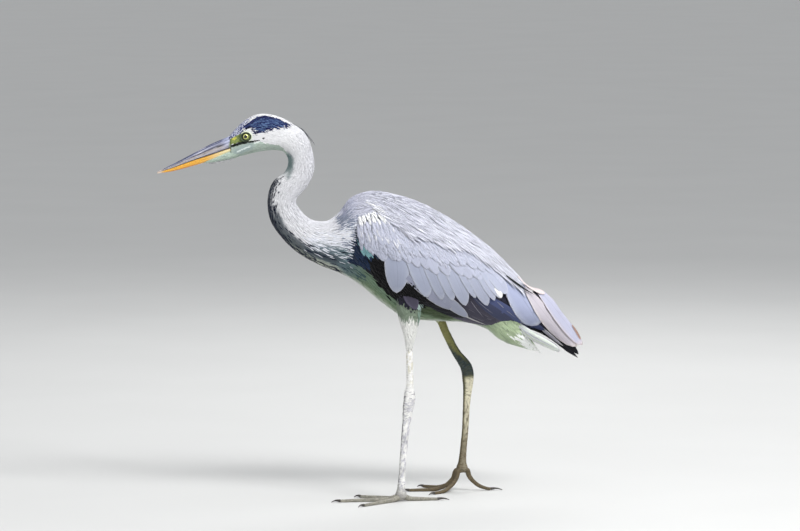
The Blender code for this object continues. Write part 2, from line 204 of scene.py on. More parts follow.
def inside(x, z, corners):
    """Which points lie in a polygon of (x, z) corners in millimetres: those with an odd number of its edges
    above."""
    found = np.zeros(np.shape(x), bool)
    corners = np.array(corners, float) * MM
    for (x0, z0), (x1, z1) in zip(corners, np.roll(corners, -1, axis=0)):
        if x0 == x1:
            continue
        spans = (x0 <= x) != (x1 <= x)
        found ^= spans & (z < z0 + (x - x0) * (z1 - z0) / (x1 - x0))
    return found


def near_line(x, z, corners):
    """Distance in millimetres of points from an open line of (x, z) corners in millimetres."""
    corners = np.array(corners, float) * MM
    best = np.full(np.shape(x), 9.0)
    for (x0, z0), (x1, z1) in zip(corners, corners[1:]):
        dx, dz = x1 - x0, z1 - z0
        t = np.clip(((x - x0) * dx + (z - z0) * dz) / (dx * dx + dz * dz), 0, 1)
        best = np.minimum(best, np.hypot(x - x0 - t * dx, z - z0 - t * dz))
    return best / MM


def line_height(x, line):
    """Height in metres of a line of (x, z) corners in millimetres, over x in metres."""
    return np.interp(x / MM, *np.array(line, float).T) * MM


def off_back(a):
    """How far an angle round a section lies from the back, on either side."""
    return np.abs((a + PI) % (2 * PI) - PI)


def all_round(count):
    """count even angles of a full turn, as one row."""
    return np.linspace(0, 2 * PI, count, endpoint=False)[None, :]


def run_along(line):
    """Length of a line of points up to each of them."""
    return np.concatenate([[0.0], np.cumsum(np.linalg.norm(np.diff(line, axis=0), axis=1))])


def unit(v):
    """Vectors divided by their own length."""
    return v / np.maximum(np.linalg.norm(v, axis=-1, keepdims=True), 1e-12)


def read(table, place):
    """Values between a table's rows, in proportion to how near each row is."""
    i = np.clip(place.astype(int), 0, len(table) - 2)
    t = (place - i)[..., None]
    return table[i] * (1 - t) + table[i + 1] * t


def hermite(table, fine, lead=None):
    """The table with fine rows for each of its own, on cubics whose slopes come from the neighbouring
    rows."""
    middle = (table[:, 0:2] + table[:, 2:4]) / 2 if lead is None else table[:, lead]
    run = run_along(middle)
    slope = np.gradient(table, run, axis=0)
    t = (np.arange(fine) / fine)[None, :, None]
    ease = t * t * (3 - 2 * t)
    step = np.diff(run)[:, None, None]
    made = (
        (1 - ease) * table[:-1, None] + ease * table[1:, None]
        + t * (1 - t) ** 2 * step * slope[:-1, None] + t * t * (t - 1) * step * slope[1:, None]
    )
    return np.concatenate([made.reshape(-1, table.shape[1]), table[-1:]])


class Surface:
    """Sections of a body: the section's middle, plus half its height times cos a, plus its half width times
    sin a."""

    fine = 16

    def __init__(self, rows, lengths=5):
        table = np.array(rows, float)
        table[:, :lengths] *= MM
        self.table = hermite(table, self.fine)

    def columns(self, s):
        """The table's values at s."""
        return read(self.table, np.asarray(s, float) * self.fine)

    def width(self, c, s, a):
        """Half width times sin a, times 1 less the pear's share of cos a."""
        return c[..., 4] * np.sin(a) * (1 - c[..., 5] * np.cos(a))

    def point(self, s, a, h=0.0):
        """The place (s, a), moved out by h."""
        s, a = np.broadcast_arrays(np.asarray(s, float), np.asarray(a, float))
        c = self.columns(s)
        middle, lift = (c[..., 0:2] + c[..., 2:4]) / 2, (c[..., 0:2] - c[..., 2:4]) / 2
        half = np.linalg.norm(lift, axis=-1)
        up = (1 + h / half) * np.cos(a)
        y = self.width(c, s, a) + h * np.sin(a)
        return np.stack([middle[..., 0] + up * lift[..., 0], y, middle[..., 1] + up * lift[..., 1]], -1)

    def frame(self, s, a):
        """The place (s, a), how it moves with s and with a, and the direction out of the surface."""
        d = 0.02
        along = (self.point(s + d, a) - self.point(s - d, a)) / (2 * d)
        around = (self.point(s, a + d) - self.point(s, a - d)) / (2 * d)
        return self.point(s, a), along, around, unit(np.cross(along, around))

    def locate(self, x, z):
        """(s, a) on the right side of points given as seen from the side, from the two sections around
        each."""
        back, belly = self.table[:, 0:2], self.table[:, 2:4]
        middle, lift = (back + belly) / 2, (back - belly) / 2
        half = np.linalg.norm(lift, axis=1)
        lift = lift / half[:, None]
        off_x, off_z = x.ravel()[:, None] - middle[:, 0], z.ravel()[:, None] - middle[:, 1]
        up = (off_x * lift[:, 0] + off_z * lift[:, 1]) / half
        ahead = off_x * lift[:, 1] - off_z * lift[:, 0]
        crossing = (ahead[:, :-1] >= 0) & (ahead[:, 1:] < 0)
        cost = np.where(crossing, np.abs(up[:, :-1]), 99.0)
        cost[:, 0] = np.where(ahead[:, 0] < 0, np.minimum(cost[:, 0], 50), cost[:, 0])
        cost[:, -1] = np.where(ahead[:, -1] >= 0, np.minimum(cost[:, -1], 50), cost[:, -1])
        i = cost.argmin(1)
        n = np.arange(len(i))
        t = ahead[n, i] / (ahead[n, i] - ahead[n, i + 1])
        u = up[n, i] * (1 - t) + up[n, i + 1] * t
        return ((i + t) / self.fine).reshape(x.shape), np.arccos(np.clip(u, -1, 1)).reshape(x.shape)


class Cloak(Surface):
    """The outside of body and folded wings together. Its half width is read from a table over s and a."""

    turns = 96
    edge = 1.5 * MM

    def __init__(self, rows):
        super().__init__(rows, 6)
        c = self.table[:, None, :]
        a = np.linspace(0, PI, self.turns + 1)[None, :]
        body, wing, top, bottom = (c[..., k] for k in range(4, 8))
        share = (1 - np.cos(a)) / 2
        span = np.arccos(np.clip(1 - 2 * (share - top) / (bottom - top), -1, 1)) / PI
        bulge = np.where(span < 0.5, np.sin(PI * span) ** 0.6, 1 - 0.35 * (2 * span - 1) ** 2)
        rear = np.clip(c[..., 0] / 0.2, 0, 1)
        wide = body + self.edge + (wing - body - self.edge) * bulge
        wide = wide * np.sin(a) * (1 + 0.1 * (1 - rear) * np.cos(a))
        for _ in range(10):
            padded = np.concatenate([-wide[:, 1:2], wide, -wide[:, -2:-1]], axis=1)
            wide = (padded[:, :-2] + 2 * padded[:, 1:-1] + padded[:, 2:]) / 4
            wide[1:-1] = (wide[:-2] + 2 * wide[1:-1] + wide[2:]) / 4
        self.wide = wide

    def width(self, c, s, a):
        """The half width read between the table's nearest places, with the side's sign."""
        turned = off_back(a)
        side = np.where(np.sin(a) < 0, -1.0, 1.0)
        f = np.clip(np.asarray(s, float) * self.fine, 0, len(self.table) - 1.001)
        g = np.clip(turned / PI * self.turns, 0, self.turns - 0.001)
        i, j = f.astype(int), g.astype(int)
        t, u = f - i, g - j
        w = self.wide
        low = w[i, j] * (1 - u) + w[i, j + 1] * u
        high = w[i + 1, j] * (1 - u) + w[i + 1, j + 1] * u
        return side * (low * (1 - t) + high * t)


class Limb(Surface):
    """A tube along a line in a plane square to Y: the line's point, plus half depth times cos a, plus half
    width times sin a. Angle 0 is the bird's front."""

    def __init__(self, rows, side):
        table = np.array(rows, float) * MM
        table[:, 2] *= side
        self.table = hermite(table, self.fine, lead=slice(0, 2))
        lean = unit(np.gradient(self.table[:, 0:2], axis=0))
        self.table = np.hstack([self.table, lean])

    def frame(self, s, a):
        """As on a Surface. The angle runs the other way round here, so the outward direction is turned
        about."""
        p, along, around, out = super().frame(s, a)
        return p, along, around, -out

    def point(self, s, a, h=0.0):
        """The place (s, a), moved out by h."""
        s, a = np.broadcast_arrays(np.asarray(s, float), np.asarray(a, float))
        c = self.columns(s)
        deep = (c[..., 3] + h) * np.cos(a)
        wide = (c[..., 4] + h) * np.sin(a)
        return np.stack([c[..., 0] + deep * c[..., 6], c[..., 2] + wide, c[..., 1] - deep * c[..., 5]], -1)


BODY = Surface(BODY_ROWS)
CHIN = Surface(CHIN_ROWS)
TAIL = Surface(TAIL_ROWS)
CLOAK = Cloak(WING_ROWS)
LEGS = {"left": Limb(LEFT_LEG, -1), "right": Limb(RIGHT_LEG, 1)}

# Shapes of vanes as (share of the length, share of the width), then shares across at which points lie.
SHARES = {
    "down": ((0.0, 0.45), (0.3, 0.95), (0.62, 1.0), (0.86, 0.62), (1.0, 0.0)),
    "lance": ((0.0, 0.5), (0.3, 1.0), (0.6, 0.82), (0.85, 0.42), (1.0, 0.0)),
    "hair": ((0.0, 0.8), (0.35, 1.0), (0.7, 0.7), (1.0, 0.0)),
    "covert": (
        (0.0, 0.35), (0.14, 0.68), (0.3, 0.92), (0.48, 1.0), (0.64, 0.95), (0.77, 0.8), (0.88, 0.56),
        (0.955, 0.32), (1.0, 0.0),
    ),
    "blade": (
        (0.0, 0.35), (0.12, 0.62), (0.28, 0.88), (0.46, 1.0), (0.64, 0.99), (0.79, 0.88), (0.89, 0.70),
        (0.96, 0.42), (1.0, 0.0),
    ),
    "quill": (
        (0.0, 0.40), (0.15, 0.75), (0.35, 0.95), (0.55, 1.0), (0.72, 0.93), (0.85, 0.72), (0.94, 0.42),
        (1.0, 0.0),
    ),
}
SHARES = {name: np.array(rows) for name, rows in SHARES.items()}
NARROW = np.array([-1.0, 0.0, 1.0])
MIDDLING = np.array([-1.0, -0.6, 0.0, 0.6, 1.0])
BROAD = np.array([-1.0, -0.9, -0.55, 0.0, 0.55, 0.9, 1.0])


class Mesh:
    """Gathers points, faces, colours and maps, and makes one mesh object of them."""

    def __init__(self, soften=0.0):
        self.points, self.tints, self.outs, self.faces, self.maps, self.size = [], [], [], [], {}, 0
        self.soften = soften

    def add(self, points, tints, faces, outs=None, **maps):
        """points and tints are (n, 3). faces is a list of whole-number arrays, each (f, corners). Each map
        holds one array for each of them, (f, corners, 2). outs are directions that the shading may lean
        to."""
        self.points.append(points)
        self.tints.append(np.broadcast_to(tints, points.shape))
        self.outs.append(np.zeros_like(points) if outs is None else outs)
        for i, group in enumerate(faces):
            self.faces.append(group + self.size)
            for name, made in maps.items():
                self.maps.setdefault(name, []).append(made[i])
        self.size += len(points)

    def build(self, name, material, slot, replaced=()):
        """Makes the object and says what it rides on and which solids it replaces. slot is not used."""
        mesh = bpy.data.meshes.new(name)
        points = np.concatenate(self.points)
        mesh.vertices.add(len(points))
        mesh.vertices.foreach_set("co", points.astype(np.float32).ravel())
        totals = np.concatenate([np.full(len(f), f.shape[1]) for f in self.faces])
        corners = np.concatenate([f.ravel() for f in self.faces])
        mesh.loops.add(len(corners))
        mesh.polygons.add(len(totals))
        starts = np.concatenate([[0], np.cumsum(totals)[:-1]])
        mesh.polygons.foreach_set("loop_start", starts.astype(np.int32))
        mesh.loops.foreach_set("vertex_index", corners.astype(np.int32))
        mesh.update(calc_edges=True)
        for key, made in self.maps.items():
            layer = mesh.uv_layers.new(name=key)
            flat = np.concatenate([m.reshape(-1, 2) for m in made])
            layer.data.foreach_set("uv", flat.astype(np.float32).ravel())
        if "OFBake" in mesh.uv_layers:
            mesh.uv_layers["OFBake"].active = True
            mesh.uv_layers["OFBake"].active_render = True
        tints = np.concatenate(self.tints)
        layer = mesh.color_attributes.new(name="tint", type="FLOAT_COLOR", domain="POINT")
        tints = np.hstack([tints, np.ones((len(tints), 1))])
        layer.data.foreach_set("color", tints.astype(np.float32).ravel())
        if mesh.validate():
            raise RuntimeError(name + " has faulty faces")
        mesh.shade_smooth()
        if self.soften:
            self.lean_shading(mesh)
        mesh.materials.append(material)
        obj = bpy.data.objects.new(name, mesh)
        bpy.context.scene.collection.objects.link(obj)
        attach(obj, ROOT)
        if replaced:
            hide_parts(*replaced)
        return obj

    def lean_shading(self, mesh):
        """Turns the normals of faces that look outwards towards the direction out of the body, so that
        feathers that lie close shade as one soft coat."""
        normals = np.empty(len(mesh.vertices) * 3, np.float32)
        mesh.vertex_normals.foreach_get("vector", normals)
        normals = normals.reshape(-1, 3)
        outs = np.concatenate(self.outs)
        facing = ramp((normals * outs).sum(-1), -0.3, 0.2)[:, None] * self.soften
        layer = mesh.attributes.new("custom_normal", "FLOAT_VECTOR", "POINT")
        leaned = unit(normals * (1 - facing) + outs * facing)
        layer.data.foreach_set("vector", leaned.astype(np.float32).ravel())


def net(rows, sides, ring=False):
    """Quads of a grid whose sides close on themselves, as its rows do in a ring, and their corners' places as
    (share round, share along)."""
    steps = rows if ring else rows - 1
    i, k = np.meshgrid(np.arange(steps), np.arange(sides), indexing="ij")
    m, n = (i + 1) % rows, (k + 1) % sides
    quads = np.stack([i * sides + k, i * sides + n, m * sides + n, m * sides + k], -1).reshape(-1, 4)
    corners = ((k, i), (k + 1, i), (k + 1, i + 1), (k, i + 1))
    places = [np.stack([right / sides, up / steps], -1) for right, up in corners]
    return quads, np.stack(places, 2).reshape(-1, 4, 2)


def add_grid(mesh, points, tints):
    """Adds a closed loft over a grid of rings (rows, sides, 3) to a mesh, with a point at the middle of each
    end. tints are for the grid's points, and the ends take the nearest ring's."""
    rows, sides = points.shape[:2]
    quads, places = net(rows, sides)
    faces, maps = [quads], [places]
    k = np.arange(sides)
    for end in (0, 1):
        way = 1 if end else -1
        ring = k + (rows - 1) * sides * end
        faces.append(np.stack([*(ring, np.roll(ring, -1))[::way], np.full(sides, rows * sides + end)], 1))
        across = np.stack([k, k + 1][::way] + [k + 0.5], 1) / sides
        maps.append(np.stack([across, np.full_like(across, end)], -1))
    points, tints = (np.concatenate([v.reshape(-1, 3), v[0].mean(0)[None], v[-1].mean(0)[None]])
                     for v in (points, tints))
    mesh.add(points, tints, faces, length=maps)


def add_ring(mesh, points, tints):
    """Adds a grid that closes on itself both ways, like a ring."""
    quads, places = net(*points.shape[:2], ring=True)
    mesh.add(points.reshape(-1, 3), tints.reshape(-1, 3), [quads], length=[places])


def add_vanes(coat, p, out, shares, across, lift, thick, tint, edge, places, patch, fringe=0.6):
    """Adds feathers, each a thin closed blade. p and out are (n, stations, points across, 3): places on a
    surface and the directions out of it. The blade lies at p + lift x out, and its two faces part by thick x
    (1 - across squared). The last station is drawn together to a point. tint is each feather's colour and
    edge that of its fringe."""
    count, stations, points = p.shape[:3]
    lift = np.asarray(lift)
    lift = np.broadcast_to(lift[..., None] if lift.ndim == 2 else lift, (count, stations, points))[..., None]
    thick = np.broadcast_to(thick, (count,))[:, None, None, None] * (1 - across ** 2)[None, None, :, None]
    middle = p + out * lift
    top, under = middle + out * thick, middle - out * thick
    ring = np.concatenate([top, under[:, :, -2:0:-1]], axis=2)[:, :-1]
    tip = middle[:, -1:, points // 2]
    sides = ring.shape[2]
    size = (stations - 1) * sides + 1
    vertices = np.concatenate([ring.reshape(count, -1, 3), tip], axis=1)
    wide = np.concatenate([across, across[-2:0:-1]])
    share = shares[:, 0]
    body = np.broadcast_to(np.abs(wide)[None, :], (stations - 1, sides))
    length = np.broadcast_to(share[:-1, None], (stations - 1, sides))
    fringed = np.maximum(ramp(body, fringe, 1.0), ramp(length, 0.5 + fringe / 2, 1.0)).ravel()
    fringed = np.append(fringed, 1.0)[None, :, None]
    colours = tint[:, None] * (1 - fringed) + edge[:, None] * fringed
    u = np.append(np.tile((wide + 1) / 2, stations - 1), 0.5)
    v = np.append(np.repeat(share[:-1], sides), 1.0)
    quads, _ = net(stations - 1, sides)
    last = (stations - 2) * sides + np.arange(sides)
    fan = np.stack([last, np.roll(last, -1), np.full(sides, size - 1)], 1)
    root = np.arange(sides)[::-1][None]
    start = (np.arange(count) * size)[:, None, None]
    lean = np.concatenate([out, out[:, :, -2:0:-1]], axis=2)[:, :-1].reshape(count, -1, 3)
    lean = np.concatenate([lean, out[:, -1:, points // 2]], axis=1)
    faces, vane_maps, bake_maps = [], [], []
    for group in (quads, fan, root):
        faces.append((group[None] + start).reshape(-1, group.shape[1]))
        flat = np.stack([u[group], v[group]], -1)
        vane_maps.append(np.broadcast_to(flat, (count, *flat.shape)).reshape(-1, *flat.shape[1:]))
        small = places[:, None, None] + (flat[None] - 0.5) * np.reshape(patch, (-1, 1, 1, 1))
        bake_maps.append(small.reshape(-1, *flat.shape[1:]))
    coat.add(vertices.reshape(-1, 3), colours.reshape(-1, 3), faces, lean.reshape(-1, 3), vane=vane_maps,
             OFBake=bake_maps)


def strew(surface, s_range, a_range, gap_along, gap_across, rng, jitter=0.35):
    """Roots in rows across a stretch of a surface, a gap in millimetres apart each way, with every second row
    moved by half a gap. s_range and a_range are the stretch's ends."""
    gap_along, gap_across = gap_along * MM, gap_across * MM
    s = np.linspace(*s_range, 200)
    run = run_along(surface.point(s, sum(a_range) / 2))
    rows = np.interp(np.arange(gap_along / 2, run[-1], gap_along), run, s)
    a = np.linspace(*a_range, 40)
    found = []
    for number, row in enumerate(rows):
        across = run_along(surface.point(row, a))
        places = np.arange(gap_across * (0.25 + 0.5 * (number % 2)), across[-1], gap_across)
        places = places + rng.uniform(-jitter, jitter, len(places)) * gap_across
        found.append(np.stack([np.full(len(places), row), np.interp(places, across, a)], 1))
    s, a = np.concatenate(found).T
    step = (rows[-1] - rows[0]) / max(len(rows) - 1, 1)
    return s + rng.uniform(-jitter, jitter, len(s)) * step, a


def walk(surface, s, a, heading, length, shares):
    """Lines that follow a surface. From each root a line takes steps along the part of heading that lies in
    the surface. heading(p, along, belly) gives a direction from the place, the way to the tail and the way to
    the belly."""
    points, ways, outs = [], [], []
    for step in np.diff(shares[:, 0], append=1.0):
        p, along, around, out = surface.frame(s, a)
        side = np.where(np.sin(a) < 0, -1.0, 1.0)[:, None]
        way = heading(p, unit(along), unit(around) * side)
        ss, sa, aa = ((u * v).sum(-1) for u, v in ((along, along), (along, around), (around, around)))
        ws, wa = (way * along).sum(-1), (way * around).sum(-1)
        det = ss * aa - sa * sa
        cs, ca = (ws * aa - wa * sa) / det, (wa * ss - ws * sa) / det
        way = cs[:, None] * along + ca[:, None] * around
        size = np.linalg.norm(way, axis=1)
        points.append(p)
        ways.append(way / size[:, None])
        outs.append(out)
        s, a = s + cs / size * step * length, a + ca / size * step * length
    return np.stack(points, 1), np.stack(ways, 1), np.stack(outs, 1)


def spread(points, ways, outs, width, shares, across, droop=0.0):
    """Places across each line, as wide as the shape says. droop lowers the edges."""
    sideways = unit(np.cross(ways, outs))
    reach = width[:, None, None] * shares[:, 1:] * across / 2
    p = points[:, :, None] + sideways[:, :, None] * reach[..., None]
    p = p - outs[:, :, None] * (np.broadcast_to(droop, width.shape)[:, None, None] * across ** 2)[..., None]
    return p, np.broadcast_to(outs[:, :, None], p.shape)


def vary(rng, count, share):
    """count factors about 1 that differ by up to share."""
    return 1 + rng.uniform(-share, share, count)


def toned(rng, colour, count, share):
    """One colour for each feather, lighter or darker by up to share."""
    return np.broadcast_to(colour, (count, 3)) * vary(rng, count, share)[:, None]


def fringed(tint, share):
    """Colours of the fringes of grey feathers: each feather's own, made paler."""
    return over(tint, PALE_EDGE, np.full(len(tint), share))


def dabbed(tint, chosen, colour):
    """Colours of feathers, with another one for those that are chosen."""
    return np.where(chosen[:, None], colour, tint)


def tract(coat, surface, s, a, heading, length, width, lifts, tint, edge=None, shape="down", across=NARROW,
          thick=0.12, droop=0.0, patch=0.003, place=None, fringe=0.6):
    """Adds one feather for each root (s, a) on a surface. lifts are its heights over the surface at root and
    tip, and these and all lengths are in millimetres."""
    if not len(s):
        return
    length, width = (np.broadcast_to(v, s.shape) * MM for v in (length, width))
    shares = SHARES[shape]
    p, way, out = walk(surface, s, a, heading, length, shares)
    p, out = spread(p, way, out, width, shares, across, droop * MM)
    low, high = (np.broadcast_to(v, s.shape)[:, None] * MM for v in lifts)
    lift = low + (high - low) * shares[:, 0]
    if place is None:
        place = np.stack([s / len(surface.table) * surface.fine, (a / (2 * PI)) % 1.0], 1)
    add_vanes(coat, p, out, shares, across, lift, thick * MM, tint, tint if edge is None else edge,
              0.01 + 0.98 * place, patch, fringe)


def node(tree, kind, inputs=(), out=0, **settings):
    """Adds a shader node, sets its inputs by name or number from values or sockets, and returns one of its
    outputs."""
    made = tree.nodes.new("ShaderNode" + kind)
    for key, value in settings.items():
        setattr(made, key, value)
    for key, value in dict(inputs).items():
        if isinstance(value, bpy.types.NodeSocket):
            tree.links.new(value, made.inputs[key])
        else:
            made.inputs[key].default_value = value
    return made.outputs[out]


def maths(tree, operation, *values, clamp=False):
    """One sum of values or sockets."""
    return node(tree, "Math", dict(enumerate(values)), operation=operation, use_clamp=clamp)


def mixed(tree, factor, a, b, mode="MIX"):
    """Colour a with colour b laid over it, as much as factor says."""
    return node(tree, "Mix", {0: factor, 6: a, 7: b}, out=2, data_type="RGBA", blend_type=mode)


def new_material(name, roughness, specular=0.5, sheen=0.0, coat=0.0):
    """A material, its nodes and its shader, with the shader's plain values set."""
    material = bpy.data.materials.new(name)
    material.use_nodes = True
    tree = material.node_tree
    shader = tree.nodes["Principled BSDF"]
    shader.inputs["Roughness"].default_value = roughness
    shader.inputs["Specular IOR Level"].default_value = specular
    shader.inputs["Sheen Weight"].default_value = sheen
    shader.inputs["Coat Weight"].default_value = coat
    shader.inputs["Coat Roughness"].default_value = 0.05
    return material, tree, shader


def shade_tint(tree, shader, tint, shade):
    """Makes the base colour of a tint that is darkened or lightened by a grey shade."""
    grey = node(tree, "CombineColor", {0: shade, 1: shade, 2: shade})
    tree.links.new(mixed(tree, 1.0, tint, grey, "MULTIPLY"), shader.inputs["Base Color"])


def relief(tree, shader, height, strength, distance):
    """Bump from a height of 0 to 1."""
    bump = node(tree, "Bump", {"Strength": strength, "Distance": distance, "Height": height})
    tree.links.new(bump, shader.inputs["Normal"])


def feather_material(name, shaft, barbs, mottle, roughness=0.8):
    """Feather: its own tint, a dark shaft, slanting barbs and faint streaks along it, all on the vane's own
    map."""
    material, tree, shader = new_material(name, roughness, specular=0.15, sheen=0.06)
    tint = node(tree, "Attribute", attribute_name="tint")
    place = node(tree, "UVMap", uv_map="vane")
    split = node(tree, "SeparateXYZ", {0: place})
    u, v = split, split.node.outputs[1]
    off = maths(tree, "ABSOLUTE", maths(tree, "MULTIPLY_ADD", u, 2.0, -1.0))
    slant = maths(tree, "ADD", maths(tree, "MULTIPLY", v, barbs), maths(tree, "MULTIPLY", off, -barbs * 0.35))
    wave = maths(tree, "SINE", maths(tree, "MULTIPLY", slant, 2 * PI))
    streak_map = node(tree, "Mapping", {0: place, 3: (7.0, 1.3, 1.0)})
    where = node(tree, "TexCoord", out=3)
    streak_place = node(tree, "VectorMath", {0: streak_map, 1: where})
    streak = node(tree, "TexNoise", {"Vector": streak_place, "Scale": 1.7, "Detail": 3.0, "Roughness": 0.6})
    shade = maths(tree, "MULTIPLY_ADD", streak, mottle, 1 - mottle / 2)
    shade = maths(tree, "MULTIPLY_ADD", wave, 0.035, shade)
    line = maths(tree, "SUBTRACT", 1.0, maths(tree, "MULTIPLY", off, 16.0), clamp=True)
    line = maths(tree, "MULTIPLY", line, maths(tree, "MULTIPLY_ADD", v, -shaft * 0.5, shaft))
    shade_tint(tree, shader, tint, maths(tree, "SUBTRACT", shade, line))
    height = maths(tree, "MULTIPLY_ADD", wave, 0.3, maths(tree, "MULTIPLY", line, 1.5))
    relief(tree, shader, height, 0.35, 0.0004)
    return material


def skin_material(name, scale, roughness, strength):
    """Bare skin: its own tint, mottled by noise, with fine pebbling."""
    material, tree, shader = new_material(name, roughness, specular=0.4)
    tint = node(tree, "Attribute", attribute_name="tint")
    where = node(tree, "TexCoord", out=3)
    noise = node(tree, "TexNoise", {"Vector": where, "Scale": scale * 0.6, "Detail": 5.0, "Roughness": 0.65})
    fine = node(tree, "TexNoise", {"Vector": where, "Scale": scale * 4, "Detail": 2.0})
    shade = maths(tree, "MULTIPLY_ADD", noise, 0.7, maths(tree, "MULTIPLY_ADD", fine, 0.3, 0.5))
    shade_tint(tree, shader, tint, shade)
    cells = node(tree, "TexVoronoi", {"Vector": where, "Scale": scale * 2.2})
    relief(tree, shader, maths(tree, "MULTIPLY_ADD", cells, 0.8, fine), strength, 0.0005)
    return material


def horn_material(name, streaks, dark, light, roughness, share):
    """Horn: its own tint, with fine dark and pale scratches along its length."""
    material, tree, shader = new_material(name, roughness, specular=0.5, coat=0.15)
    tint = node(tree, "Attribute", attribute_name="tint")
    place = node(tree, "UVMap", uv_map="length")
    stretched = node(tree, "Mapping", {0: place, 3: (streaks, streaks * 0.12, 1.0)})
    noise = node(tree, "TexNoise", {"Vector": stretched, "Scale": 1.0, "Detail": 4.0, "Roughness": 0.7})
    low = maths(tree, "MULTIPLY_ADD", noise, -9.0, 4.1, clamp=True)
    high = maths(tree, "MULTIPLY_ADD", noise, 9.0, -4.9, clamp=True)
    colour = mixed(tree, maths(tree, "MULTIPLY", low, share), tint, (*dark, 1))
    colour = mixed(tree, maths(tree, "MULTIPLY", high, share), colour, (*light, 1))
    tree.links.new(colour, shader.inputs["Base Color"])
    relief(tree, shader, noise, 0.35, 0.0006)
    return material


# Colours
WHITE = linear(227, 227, 229)
NECK_GREY = linear(216, 216, 222)
MANTLE = linear(188, 189, 203)
SCAPULAR = linear(208, 209, 222)
COVERT = linear(168, 172, 190)
PALE_EDGE = linear(220, 221, 228)
CROWN = linear(46, 62, 106)
BLACK = linear(14, 16, 24)
NAVY = linear(24, 38, 62)
TEAL_GLINT = linear(118, 160, 166)
WEDGE_BLACK = linear(3, 3, 6)
BREAST_WHITE = linear(222, 224, 232)
WING_GREY = linear(188, 190, 206)
SPOT_WHITE = linear(242, 242, 244)
SLATE = linear(58, 58, 76)
# The throat's white, painted green-grey as it lies in shade with green reflected light.
SHADED_THROAT = linear(172, 188, 176)
SHADE_GREEN = linear(74, 84, 92)
# Breast and belly white, painted dark olive-green as they lie in shade with green reflected light.
SHADED_BREAST = linear(112, 134, 112)
# Vent and undertail white, painted green-grey as they lie in shade with green reflected light.
SHADED_VENT = linear(178, 194, 160)
LORES = linear(112, 128, 44)
EYE_RING = linear(22, 34, 18)
# Leg colours: pale for the left leg, painted as lit, and olive for the right, painted as in shade.
LIT_PALE_LEG = linear(230, 229, 226)
SHADED_OLIVE_LEG = linear(134, 132, 78)
DARK_LEG = linear(34, 46, 48)
BROWN_LEG = linear(92, 80, 58)

# Lines and patches of the markings, as (x, z) corners in millimetres.
CROWN_PATCH = (
    (-203.5, 583), (-199.6, 588), (-193, 592.5), (-187, 596.5), (-179, 600), (-170, 601.5), (-160.6, 600),
    (-151, 597.5), (-142, 593), (-131, 588.5), (-136.5, 585), (-143.5, 583.3), (-149, 584.5), (-159, 582.3),
    (-168.5, 580), (-174.7, 576.3), (-181, 574.9), (-187, 575.3), (-191, 577.3), (-192.6, 581.6),
    (-198, 582.4),
)
GAPE_LINE = ((-230, 552.7), (-222, 555.1), (-208, 560), (-198.5, 562), (-189, 562.3), (-180, 564.2))
LORE_PATCH = (
    (-227, 555.5), (-219, 557.5), (-210, 560.5), (-203, 562), (-196, 562.5), (-193, 567), (-193.5, 572),
    (-198, 576.5), (-206, 575), (-213.5, 571.5), (-219, 568), (-227, 564),
)
# A yellow highlight painted on the bare lores.
LORE_GLINT = ((-218.5, 565.5), (-216, 567))
LORE_HOLLOW = ((-216, 565), (-208, 566))
BROW_LINE = ((-203, 580), (-192, 580.5), (-186, 577))
BROW_FLECKS = ((-205, 578), (-196, 583.5), (-186, 580), (-184, 572))
EAR_DOT = ((-174, 568.5), (-173, 568.5))
# Glossy highlights painted on the side of the throat, as pale streaks.
CHEEK_GLINTS = (((-212.6, 546.5), (-204.8, 550.2), (-193.9, 554.7)), ((-187.6, 559.3), (-180, 561.5)))
# Down the side of the lower neck: a slate band, its dark streaks deepened with painted shade, and below it a
# pale band, white with painted green reflected light.
SLATE_SHADE_BAND = ((-159, 458), (-151.5, 441), (-142, 422), (-123, 405), (-104, 393), (-85, 386), (-62, 378))
PALE_BAND = ((-141.5, 410), (-122.6, 394), (-103.6, 378), (-84.6, 368), (-60, 357))
# Dark feathers before the wing: blue above, with a painted blue-green highlight on them, and black below.
NAVY_PATCH = (
    (-38, 434), (-29, 421), (-20, 408), (-10, 397), (3, 384), (-13, 373), (-13, 361), (-28, 369), (-47, 375),
    (-41, 389), (-44, 396), (-40, 408),
)
# Painted shade, blue-grey, beside the dark feathers under the neck.
SHADE_BESIDE_WEDGE = ((-60, 442), (-45, 447), (-36, 434), (-40, 408), (-44, 396), (-54, 402), (-52, 420))
TEAL_GLINT_PATCH = ((-28, 405), (-14, 395), (-10, 384), (-23, 385))
BLACK_WEDGE = (
    (-16, 376), (-9.5, 356), (6, 336), (22, 319), (40, 307), (56, 300), (66, 304), (80, 304), (100, 296),
    (113, 293), (113, 300), (80, 320), (66, 326), (48, 346), (30, 330), (17, 345), (8, 366), (4, 386),
    (-6, 384),
)
BREAST_STREAKS = ((-80, 398), (-45, 377), (-14, 354), (-20, 344), (-50, 360), (-84, 384))
FLANK_SHADE = ((72, 302), (112, 288))
# Lower edge of the lit cheek; below it the throat is in painted shade.
THROAT_SHADE_LINE = (
    (-232, 556), (-206, 559), (-194, 560.2), (-178.4, 562.3), (-167.5, 559), (-156, 557.4), (-148, 555.8),
    (-140.3, 549.5), (-134, 542.5), (-127, 532.3), (-127, 520), (-133, 505),
)
THROAT_SHADE_PATCH = (*THROAT_SHADE_LINE, (-160, 480), (-260, 480))
WRIST_PATCH = ((-31, 432), (-26, 447), (-10, 453), (14, 451), (22, 441), (5, 435), (-10, 438), (-19, 433))
WRIST_LINE = ((-22, 448), (-8, 451), (14, 448))
# Where the white undertail feathers are painted brightest, as lit.
LIT_UNDERTAIL = ((197, 276), (203, 256), (222, 238), (248, 228), (252, 240), (246, 258), (222, 276))
